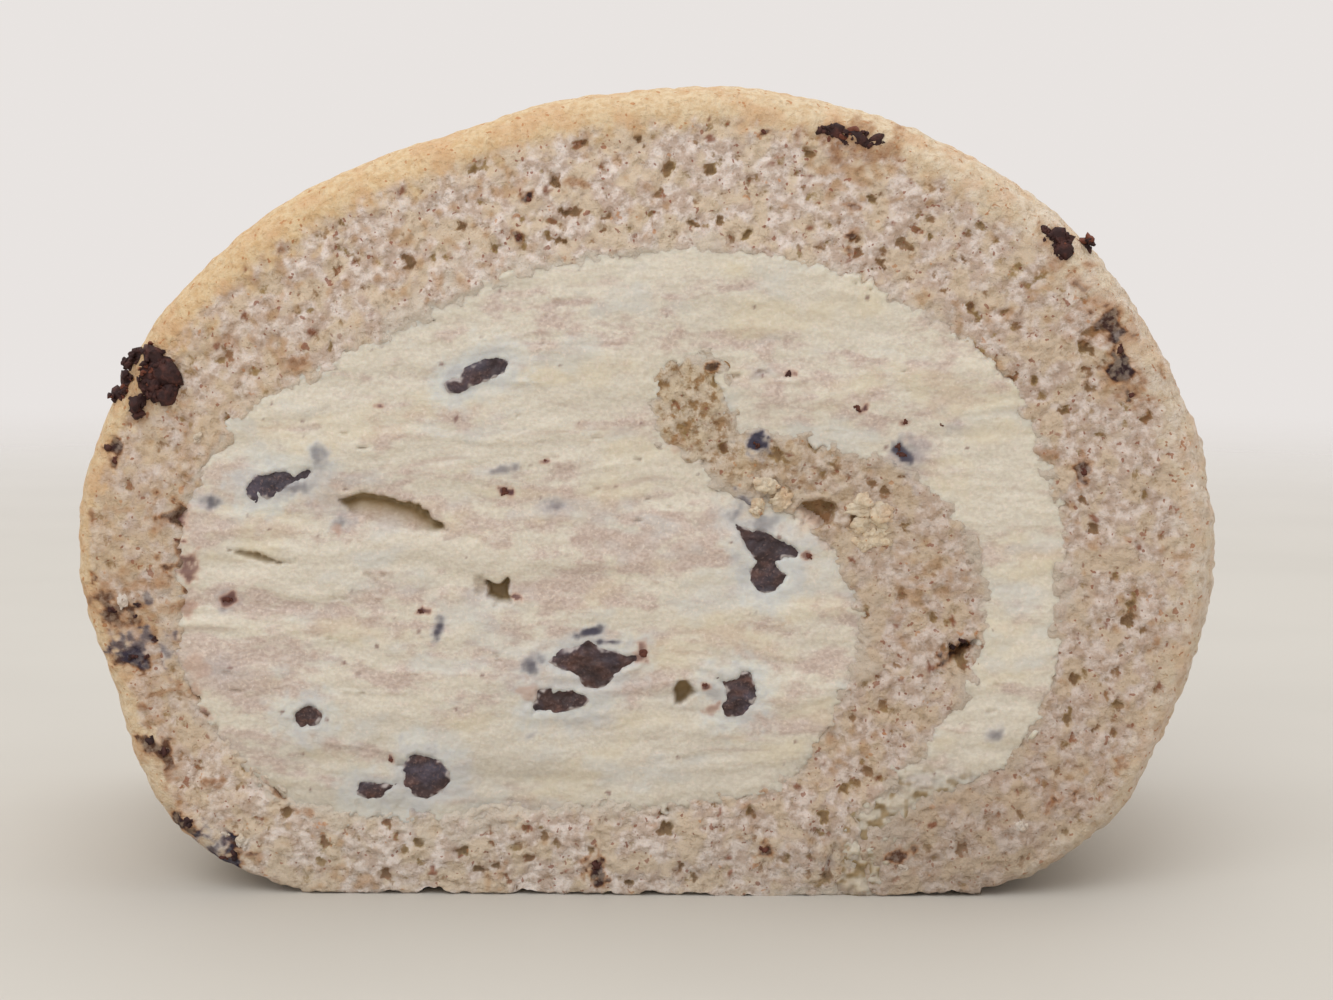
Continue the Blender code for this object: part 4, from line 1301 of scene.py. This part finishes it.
# Warm stains in the cream and the crumb at the front, listed the same way
FRONT_STAINS = (
    (-0.5, 19.9, 1.3, 1.4, 0, 0.7), (-9.6, 16.8, 1.6, 1.2, 0, 0.45), (-11.6, 33.0, 1.1, 1.0, 0, 0.9),
    (4.6, 17.5, 0.6, 0.6, 0, 0.8), (5.3, 15.5, 1.5, 0.9, 0, 0.6), (-10.8, 24.6, 1.0, 0.7, -30, 0.8),
    (-18.3, 23.3, 0.9, 0.6, 0, 0.9), (-33.8, 24.3, 1.1, 0.7, 40, 0.8), (-20.8, 11.3, 0.7, 1.0, 0, 0.9),
    (-21.5, 39.8, 0.7, 0.4, 0, 0.8), (-8.2, 35.5, 1.0, 0.5, 10, 0.8), (12.8, 28.0, 1.6, 0.7, 0, 0.7),
    (17.1, 39.8, 0.8, 0.9, 0, 0.9), (11.1, 42.6, 0.9, 0.7, 0, 0.8), (-24.9, 30.0, 1.0, 0.8, 0, 0.5),
    (20.3, 38.7, 0.7, 0.6, 0, 0.7), (5.1, 43.2, 1.0, 0.8, 0, 0.9), (36.4, 46.7, 1.7, 3.8, 28, 0.85),
    (36.0, 47.9, 0.8, 1.2, 30, 0.8), (37.3, 44.3, 1.9, 3.4, 20, 0.95), (36.8, 45.6, 3.8, 7.4, 25, 0.45),
    (34.3, 49.6, 1.2, 1.6, 40, 0.7), (35.2, 48.6, 2.4, 2.8, 35, 0.42), (37.9, 42.8, 1.0, 1.4, 0, 0.8),
    (38.4, 41.1, 3.0, 2.4, 0, 0.55), (38.4, 41.0, 1.1, 1.1, 0, 0.9), (40.8, 43.2, 0.9, 1.6, 10, 0.55),
    (33.3, 45.5, 1.1, 1.2, 0, 0.4), (34.7, 34.8, 1.3, 2.0, 0, 0.8), (32.7, 36.3, 2.2, 1.0, 0, 0.45),
    (34.8, 51.5, 1.4, 0.7, -15, 0.6), (34.4, 49.4, 1.4, 1.2, -40, 0.5), (32.5, 51.4, 1.9, 1.6, 0, 0.5),
    (-5.9, 57.6, 2.8, 0.7, -15, 0.55), (8.9, 61.6, 1.0, 0.8, 0, 0.9), (-9.6, 56.3, 1.0, 0.9, 0, 0.9),
    (-10.5, 53.3, 0.8, 1.1, 0, 0.8), (15.8, 55.9, 0.9, 0.6, 0, 0.7), (16.2, 53.5, 1.0, 0.8, 0, 0.8),
    (15.8, 52.3, 0.8, 0.6, 0, 0.7), (-4.1, 2.1, 1.4, 2.4, 30, 0.9), (9.7, 3.8, 1.6, 1.2, 0, 0.8),
    (20.7, 3.4, 3.0, 1.0, 10, 0.8), (33.6, 8.2, 2.2, 0.8, 25, 0.8), (38.4, 11.3, 1.2, 1.6, 0, 0.6),
    (-29.3, 52.0, 0.6, 0.6, 0, 0.7), (0.3, 5.9, 0.8, 0.6, 0, 0.7), (-43.3, 36.4, 1.3, 0.8, -10, 0.9),
    (-42.6, 36.4, 0.8, 1.8, 10, 0.8), (24.9, 20.5, 2.4, 1.6, 40, 0.9), (41.0, 21.1, 1.0, 1.4, 0, 0.5),
    (-35.6, 14.8, 1.8, 0.9, -25, 0.7), (-36.6, 16.6, 0.9, 1.6, 35, 0.5), (-30.2, 8.4, 2.8, 0.5, -45, 0.6),
    (-27.6, 6.8, 1.4, 0.8, 0, 0.5), (-34.6, 9.3, 1.0, 1.0, 0, 0.6), (13.4, 31.4, 2.4, 1.8, -5, 0.4),
    (-28.2, 43.2, 2.2, 0.9, 15, 0.6), (-33.5, 45.0, 2.6, 1.0, 5, 0.4), (31.4, 53.8, 2.6, 1.4, -40, 0.6),
    (32.8, 52.0, 1.4, 2.6, 10, 0.55), (16.0, 61.2, 6.2, 3.0, -8, 0.55), (-40.4, 41.6, 5.4, 5.6, 0, 0.4),
    (2.5, 37.0, 1.8, 1.6, 0, 0.4), (-42.8, 35.2, 0.8, 1.2, 0, 0.8), (-44.6, 30.9, 0.5, 1.0, 0, 0.6),
    (-38.2, 31.0, 2.6, 2.6, -20, 0.8), (-39.3, 29.8, 1.2, 0.9, 0, 0.4), (-38.0, 29.0, 1.5, 0.5, -10, 0.8),
    (-37.2, 26.9, 2.4, 2.8, 30, 0.75), (-40.6, 25.4, 6.4, 1.5, 8, 0.42), (-43.9, 24.2, 3.0, 2.6, 0, 0.5),
    (-42.6, 31.4, 2.6, 0.6, 0, 0.4), (-36.4, 19.0, 1.6, 2.4, 20, 0.35), (-37.7, 27.9, 0.8, 1.8, 20, 0.65),
    (-36.9, 26.6, 1.6, 1.1, 0, 0.75), (-42.3, 25.6, 2.0, 1.8, 0, 0.35), (-44.6, 25.6, 0.6, 1.1, 0, 0.75),
    (-43.6, 24.2, 1.8, 1.4, 0, 0.75), (-43.2, 23.0, 1.5, 1.9, 0, 0.8), (-42.6, 22.1, 1.4, 0.9, 0, 0.7),
    (-41.2, 23.6, 1.4, 1.2, 0, 0.8), (-41.3, 22.6, 1.1, 0.9, 0, 0.75), (-42.2, 22.8, 3.6, 3.4, 0, 0.4),
    (-38.2, 23.4, 1.6, 0.8, 0, 0.4), (-37.0, 23.5, 1.2, 1.2, 0, 0.55), (-34.0, 24.1, 1.4, 0.9, 40, 0.8),
    (-41.0, 19.4, 3.2, 1.7, -5, 0.82), (-42.3, 19.4, 1.8, 1.5, 0, 0.8),
    (-41.0, 20.4, 4.6, 3.4, -20, 0.42), (-39.8, 20.8, 0.7, 0.8, 0, 0.9),
    (-42.9, 20.6, 1.6, 0.7, -30, 0.6), (-41.0, 18.0, 1.3, 0.35, 5, 0.7), (-39.5, 16.5, 1.8, 0.5, 15, 0.5),
    (-41.2, 15.5, 0.9, 0.6, 0, 0.55), (-40.3, 12.7, 1.8, 1.3, -30, 0.8),
    (-39.2, 11.5, 1.6, 2.3, 30, 0.78), (-39.6, 11.9, 3.0, 3.4, 20, 0.4), (-38.9, 9.6, 0.8, 1.8, 0, 0.5),
    (-38.3, 7.2, 0.7, 1.3, 0, 0.5), (-39.2, 6.6, 1.0, 2.0, 30, 0.45), (-37.8, 5.5, 2.4, 1.5, -25, 0.95),
    (-38.3, 6.2, 1.0, 1.3, 0, 0.7), (-33.6, 3.3, 1.8, 2.8, 0, 0.92), (-34.9, 2.5, 2.8, 1.5, 0, 0.9),
    (-34.6, 3.0, 4.4, 3.2, -10, 0.4), (-35.2, 9.3, 0.9, 0.7, 0, 0.6),
)

# Hollows torn in the crumb at the front: (outline, depth, shade)
CRUMB_HOLLOWS = (
    (((15.6, -0.5), (15.5, 0.2), (16.4, 1.0), (17.6, 1.1), (18.4, 0.3), (18.8, -0.5)), 2.4, 1.0),
    (((14.2, 1.6), (14.6, 3.4), (15.2, 4.3), (15.6, 4.0), (15.0, 2.6), (14.5, 1.2)), 0.6, 0.3),
    (((11.6, 31.4), (12.2, 32.4), (13.8, 32.6), (15.2, 32.3), (15.0, 31.2), (14.4, 30.4), (13.0, 30.2),
      (12.0, 30.6)), 1.5, 0.8),
    (((-38.4, 30.2), (-37.8, 32.0), (-36.9, 31.4), (-36.3, 30.2), (-37.0, 29.6)), 1.0, 0.5),
    (((-38.2, 26.4), (-37.2, 27.2), (-36.0, 26.9), (-36.4, 26.0), (-37.0, 25.4), (-37.6, 26.2)),
     1.2, 0.7),
    (((-37.6, 23.4), (-36.9, 24.3), (-36.1, 24.2), (-36.2, 23.4), (-36.8, 22.5)), 1.1, 0.6),
    (((-37.3, 17.4), (-36.6, 17.4), (-35.8, 16.1), (-36.4, 16.0)), 1.2, 0.5),
    (((-36.4, 15.2), (-35.6, 15.2), (-34.7, 14.9), (-35.2, 14.3), (-35.9, 14.8)), 1.5, 0.9),
    (((-31.7, 9.9), (-30.4, 9.2), (-29.3, 7.9), (-29.5, 7.5), (-30.6, 8.7), (-31.9, 9.6)), 1.4, 0.8),
    (((24.0, 21.2), (24.9, 20.8), (26.6, 21.4), (26.8, 21.0), (25.6, 20.2), (24.9, 19.3), (24.3, 19.6)),
     1.5, 1.0),
)


def paint(fields, key, spots, shift=0.0, soft=0.4):
    """Adds ragged oval spots to a colour value."""
    for x, z, across, up, tilt, strength in spots:
        part = window(x, z, max(across, up) * 0.6 + 1.0)
        c = math.cos(math.radians(tilt))
        s = math.sin(math.radians(tilt))
        dx = GRID_X[part] - x
        dz = GRID_Z[part] - z
        a = (dx * c + dz * s) / (across / 2)
        b = (dz * c - dx * s) / (up / 2)
        inside = 1 - np.sqrt(a * a + b * b) + shift * fields["ragged"][part]
        spot = strength * smoothstep(-soft, soft, inside)
        fields[key][part] = np.maximum(fields[key][part], spot)


def front_face(sponge, cream, distance, shift):
    """The photographed cut."""
    rng = np.random.default_rng(20)
    ragged = ragged_cloud(rng, 1.1, 0.45)
    crumb = crumb_fields(rng, distance)
    filling = cream_fields(rng, distance, shift)
    filling["ragged"] = ragged
    for fields in (crumb, filling):
        fields["stain"] = blank()
        fields["dusk"] = blank()
    # a hollow gets the same painted shade as a large bubble
    crumb["shade"] = crumb["pore_shade"]          # so a hollow is coloured as a large bubble is
    paint(crumb, "stain", FRONT_STAINS, 0.5, 0.6)
    paint(crumb, "dusk", FRONT_SMEARS, 0.5, 0.6)
    for outline, depth, shade in CRUMB_HOLLOWS:
        carve(crumb, outline, depth, shade)
    crumb["pore_shade"] = np.clip(crumb["pore_shade"], 0, 1.2)
    paint(filling, "dusk", FRONT_SMEARS, 0.22, 0.9)
    paint(filling, "stain", FRONT_STAINS, 0.35, 0.6)
    for outline, depth, shade, slope in FRONT_HOLLOWS:
        carve(filling, outline, depth, shade, slope)
    for node, (*_, outline) in CHUNKS.items():
        sink_bed(filling, placed_outline(node, outline))
    face_ribbon("sponge_front", FRONT, crumb, 3, sponge)
    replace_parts(cream_slab("cream_front", FRONT, distance, filling, cream), "cream")


def placed_outline(node, outline):
    """A piece's outline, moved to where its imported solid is."""
    low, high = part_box(node)
    x = (low.x + high.x) / 2 / MM
    z = (low.z + high.z) / 2 / MM
    return tuple((x + dx, z + dz) for dx, dz in outline)


def front_chocolate(chocolate):
    """The pieces of chocolate in the front cut."""
    rng = np.random.default_rng(31)
    fields = broken_clouds(rng)
    for node, (level, depth, blueness, outline) in CHUNKS.items():
        bed = placed_outline(node, outline)
        piece = chunk_slab(node + "_piece", bed, level, depth, blueness, fields, rng, chocolate)
        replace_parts(piece, node)


def back_face(sponge, cream, distance, shift):
    """The other cut, which the photo doesn't show."""
    rng = np.random.default_rng(57)
    ragged = ragged_cloud(rng, 1.1, 0.45)
    crumb = crumb_fields(rng, distance)
    crumb["stain"] = 0.9 * smoothstep(2.4, 3.0, cloud(rng, 1.6))
    crumb["dusk"] = blank()
    filling = cream_fields(rng, distance, shift)
    filling["ragged"] = ragged
    filling["stain"] = 0.8 * smoothstep(2.6, 3.2, cloud(rng, 1.0))
    filling["dusk"] = 0.5 * smoothstep(1.8, 3.0, cloud(rng, 3.5, 1.5))
    for outline in back_outlines():
        sink_bed(filling, outline)
    face_ribbon("sponge_back", BACK, crumb, 13, sponge)
    cream_slab("cream_back", BACK, distance, filling, cream)


# Charred lumps, with how proud of the cut they stand: (across, up, width, height, depth behind the cut,
# or behind the surface itself where they hardly stand proud)
SKIN_CLUSTERS = {
    "chunk_skin_left": (1.0, (
        (-39.4, 43.3, 2.0, 2.0, 0.9), (-38.8, 42.1, 2.2, 2.2, 0.5), (-38.2, 40.8, 1.7, 1.7, 0.3),
        (-39.5, 41.0, 1.8, 1.6, 0.7), (-40.0, 42.3, 1.4, 1.5, 1.1), (-41.7, 43.1, 1.6, 1.4, 2.2),
        (-41.0, 43.7, 1.0, 1.0, 1.8), (-39.9, 44.3, 0.9, 0.8, 1.2), (-41.7, 41.7, 1.1, 1.0, 1.7),
        (-42.6, 40.5, 1.4, 0.9, 2.0), (-40.7, 39.9, 1.1, 1.2, 0.9), (-40.9, 39.2, 0.8, 0.8, 1.0),
        (-42.0, 41.0, 0.6, 0.6, 1.7), (-38.0, 42.0, 1.0, 1.2, 0.3),
    )),
    "chunk_skin_top": (0.3, (
        (14.4, 61.6, 2.0, 1.1, 0.1), (16.4, 61.2, 2.4, 1.1, 0.2), (15.5, 61.6, 1.6, 0.7, 0.2),
        (17.6, 60.9, 1.5, 0.8, 0.2), (13.5, 61.7, 0.9, 0.6, 0.2), (15.4, 61.0, 1.6, 0.7, 0.2),
    )),
    "chunk_skin_right": (0.25, (
        (32.2, 53.4, 2.1, 1.3, -0.1), (32.6, 52.6, 1.5, 1.4, -0.1), (31.3, 54.0, 1.0, 0.7, 0.0),
        (34.8, 52.8, 0.9, 0.9, 0.1), (35.1, 53.3, 0.6, 0.8, 0.1),
    )),
}


def skin_chocolate(burnt, depth):
    """The pieces baked into the skin, each a cluster of charred crumbs round small cores."""
    rng = np.random.default_rng(5)
    for node, (proud, spots) in SKIN_CLUSTERS.items():
        specs = []
        for x, z, width, height, behind in spots:
            cut = depth(x, z, 1.5)
            y = (cut + behind if proud < 1 else min(cut, behind)) - HALF_DEPTH
            tilt = rng.uniform(-40, 40)
            specs.append((x, y + 0.1, z, 1.1 * width, 0.6 + 0.9 * proud, 1.1 * height, tilt))
            for _ in range(int((6 + 6 * width * height) * (0.4 + 0.6 * proud))):
                turn = rng.uniform(0, 2 * np.pi)
                reach = 0.54 * math.sqrt(rng.uniform(0.1, 1))
                size = rng.uniform(0.25, 0.6)
                near_x = x + reach * width * np.cos(turn)
                near_z = z + reach * height * np.sin(turn)
                near_y = y + rng.uniform(-0.6, 0.2) * proud
                flat = rng.uniform(0.6, 1.0)
                specs.append((near_x, near_y, near_z, size, size, flat * size, rng.uniform(-90, 90)))
        redness = np.where(rng.random(len(specs)) < 0.16, 0.8, 0.05)
        piece = lumps(node + "_piece", specs, 60, burnt, "chocolate", {"redness": redness}, roughness=0.7)
        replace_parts(piece, node)


# Loose crumbs on the front: (across, up, width, height)
FRONT_CRUMBS = (
    (9.2, 33.6, 2.2, 1.6), (10.4, 32.5, 1.7, 1.6), (9.0, 31.9, 1.4, 1.6),
    (16.9, 32.0, 2.2, 1.5), (18.5, 31.4, 2.2, 2.2), (16.9, 30.5, 1.9, 1.6),
    (18.4, 29.6, 2.2, 1.6), (17.0, 29.0, 1.3, 1.0),
    (-36.1, 37.2, 0.8, 0.8), (-32.9, 4.2, 1.0, 1.2), (20.9, 2.4, 0.7, 0.6),
    (30.2, 6.0, 1.0, 0.9), (-42.4, 23.8, 0.9, 1.5), (-34.4, 4.9, 0.6, 0.5),
)


def cut_surface():
    """How far behind the plane of the cut the modelled surface lies at any place, in mm."""
    verts = []
    faces = []
    for name in ("sponge_front", "cream_front"):
        mesh = bpy.data.objects[name].data
        shift = len(verts)
        verts += [vert.co / MM for vert in mesh.vertices]
        faces += [[shift + i for i in face.vertices] for face in mesh.polygons if len(face.vertices) == 4]
    tree = BVHTree.FromPolygons(verts, faces)

    def depth(x, z, otherwise=0.0):
        hit = tree.ray_cast(Vector((x, -2 * HALF_DEPTH, z)), Vector((0, 1, 0)))[0]
        return otherwise if hit is None else hit.y + HALF_DEPTH

    return depth


def clustered(rng, spots, depth, share=0.55):
    """Each spot as a crumb: a core with smaller lumps all over it."""
    specs = []
    for x, z, width, height, behind in spots:
        y = depth(x, z) - HALF_DEPTH
        small = min(width, height)
        specs.append((x, y + behind, z, 0.7 * width, 0.8 * small, 0.7 * height, rng.uniform(-30, 30)))
        for _ in range(CRUMB_LUMPS):
            turn = rng.uniform(0, 2 * np.pi)
            reach = rng.uniform(0.12, 0.4)
            size = small * rng.uniform(0.6, 1.1) * share
            specs.append((
                x + reach * width * np.cos(turn), y + behind + rng.uniform(-0.25, 0.2) * small,
                z + reach * height * np.sin(turn), size, size, size * rng.uniform(0.6, 1.0),
                rng.uniform(-90, 90),
            ))
    return specs


def front_crumbs(sponge, depth):
    rng = np.random.default_rng(77)
    specs = []
    for x, z, width, height in FRONT_CRUMBS:
        y = depth(x, z) - HALF_DEPTH + 0.1
        for _ in range(3):
            off_x, off_z = rng.uniform(-0.22, 0.22, 2) * (width, height)
            across, up = rng.uniform(0.65, 1.0, 2) * (width, height)
            tilt = rng.uniform(-40, 40)
            specs.append((x + off_x, y, z + off_z, across, 0.7 * min(width, height), up, tilt))
    golden = [0.8 if 28 < z < 34 and x > 0 else 0.1 for x, y, z, *_ in specs]
    values = {"golden": golden, "warm": [0.45] * len(specs), "smeared": [0.5] * len(specs)}
    lumps("loose_crumbs", specs, 90, sponge, "sponge", values, detail=4)


CRUMB_LUMPS = 7           # smaller lumps over the core of a dark crumb
FLECK_LUMPS = 10          # and over a fleck in the skin
CRUMB_SHARE = 0.95        # how much of its measured size a dark crumb keeps
CRUMB_BEHIND = 0.12       # and how far its core lies behind the surface

# Small dark crumbs pressed into the cut, and their redness: (across, up, width, height, redness)
DARK_CRUMBS = (
    (-43.2, 36.4, 1.1, 0.8, 0.2), (-42.7, 35.4, 0.7, 0.9, 0.4), (-43.2, 23.3, 0.8, 1.0, 0.1),
    (-41.2, 23.7, 0.8, 0.6, 0.0), (-41.3, 22.7, 0.6, 0.5, 0.0), (-41.6, 19.5, 1.1, 0.7, 0.0),
    (-40.5, 19.5, 0.9, 0.6, 0.1), (-39.8, 20.8, 0.6, 0.6, 0.1), (-40.3, 12.7, 1.1, 0.8, 0.0),
    (-39.2, 11.7, 0.9, 1.2, 0.1), (-37.3, 6.0, 1.2, 0.9, 0.0), (-33.6, 3.3, 0.8, 1.5, 0.0),
    (-34.5, 3.0, 1.2, 0.6, 0.1), (24.6, 20.7, 0.9, 1.1, 0.0), (25.3, 21.2, 1.1, 0.6, 0.1),
    (37.4, 44.6, 0.7, 1.4, 0.2), (38.4, 41.0, 0.7, 0.7, 0.3), (-4.2, 2.5, 0.9, 1.4, 0.2),
    (34.7, 34.8, 0.7, 0.9, 0.4), (-10.5, 53.3, 0.6, 0.8, 0.6), (-9.6, 56.2, 0.8, 0.6, 0.6),
    (20.2, 36.2, 0.9, 0.7, 0.3), (19.9, 36.8, 0.6, 0.9, 0.4), (8.6, 36.9, 0.7, 0.8, 0.3),
    (8.9, 61.6, 0.8, 0.6, 0.4), (11.1, 42.6, 0.9, 0.7, 0.2), (16.6, 39.9, 0.7, 0.8, 0.4),
    (20.4, 38.8, 0.7, 0.5, 0.5), (23.3, 38.6, 0.5, 0.4, 0.5), (-11.6, 33.0, 1.0, 0.9, 0.5),
    (-18.3, 23.3, 0.7, 0.5, 0.4), (12.9, 28.0, 1.0, 0.6, 0.6), (-20.8, 11.2, 0.6, 0.8, 0.5),
    (4.6, 17.5, 0.5, 0.5, 0.5), (-8.2, 35.5, 0.8, 0.4, 0.5), (-0.4, 20.0, 0.9, 1.0, 0.5),
    (-37.9, 29.0, 1.2, 0.4, 0.7), (-33.9, 24.2, 1.0, 0.7, 0.4), (9.6, 3.9, 1.0, 0.8, 0.5),
)


def dark_crumbs(burnt, depth):
    rng = np.random.default_rng(83)
    spots = [(x, z, CRUMB_SHARE * width, CRUMB_SHARE * height, CRUMB_BEHIND)
             for x, z, width, height, _ in DARK_CRUMBS]
    specs = clustered(rng, spots, depth, 0.5)
    redness = np.repeat([spot[4] for spot in DARK_CRUMBS], len(specs) // len(spots))
    lumps("dark_crumbs", specs, 61, burnt, "chocolate", {"redness": redness})


def skin_flecks(burnt):
    rng = np.random.default_rng(89)
    specs = []
    redness = []
    for x, y, z, width, length, tilt in skin_places():
        specs.append((x, y, z, width, length, 0.9, tilt))
        redness.append(0.1)
        for _ in range(FLECK_LUMPS):
            size = rng.uniform(0.35, 0.8)
            near = rng.uniform(-0.5, 0.5, 2) * (width, length)
            lean = math.radians(tilt)
            specs.append((
                x + near[0] * math.cos(lean), y + near[1], z + near[0] * math.sin(lean),
                size, size, size, tilt,
            ))
            redness.append(0.7 if rng.random() < 0.2 else 0.1)
    lumps("skin_flecks", specs, 62, burnt, "chocolate", {"redness": redness})


# Chocolate in the back cut: (across, up, width, height, blueness)
BACK_CHUNKS = (
    (10.5, 18.5, 5.2, 3.0, 0.1), (-2.5, 26.5, 4.2, 2.4, 0.5), (-22.0, 35.0, 5.0, 1.8, 0.8),
    (-14.5, 12.0, 3.2, 3.4, 0.4), (-27.5, 20.0, 2.6, 2.0, 0.2), (4.8, 31.0, 2.8, 1.8, 0.6),
    (-8.0, 44.5, 4.4, 1.7, 0.7), (-3.5, 12.5, 2.4, 1.5, 0.3),
)


def back_outlines():
    rng = np.random.default_rng(37)
    outlines = []
    for x, z, width, height, _ in BACK_CHUNKS:
        turns = np.sort(rng.uniform(0, 2 * np.pi, 13))
        reach = rng.uniform(0.62, 1.1, 13)
        outlines.append(tuple(
            (x + width / 2 * r * math.cos(turn), z + height / 2 * r * math.sin(turn))
            for r, turn in zip(reach, turns)
        ))
    return outlines


def back_chocolate(chocolate):
    rng = np.random.default_rng(41)
    fields = broken_clouds(rng)
    for i, (spot, outline) in enumerate(zip(BACK_CHUNKS, back_outlines())):
        chunk_slab(f"chunk_back_{i + 1}", outline, 0.05, 3.0, spot[4], fields, rng, chocolate, BACK)


make_camera()
make_light()
make_floor()
sponge_material = sponge_looks()
cream_material = cream_looks()
chocolate_material = chocolate_looks()
burnt_material = burnt_looks()
distance = cream_distance()
knife = drag_shift()
front_face(sponge_material, cream_material, distance, knife)
back_face(sponge_material, cream_material, distance, knife)
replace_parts(body_ribbon("sponge_body", sponge_material), "sponge")
front_chocolate(chocolate_material)
back_chocolate(chocolate_material)
surface = cut_surface()
skin_chocolate(burnt_material, surface)
skin_flecks(burnt_material)
dark_crumbs(burnt_material, surface)
front_crumbs(sponge_material, surface)
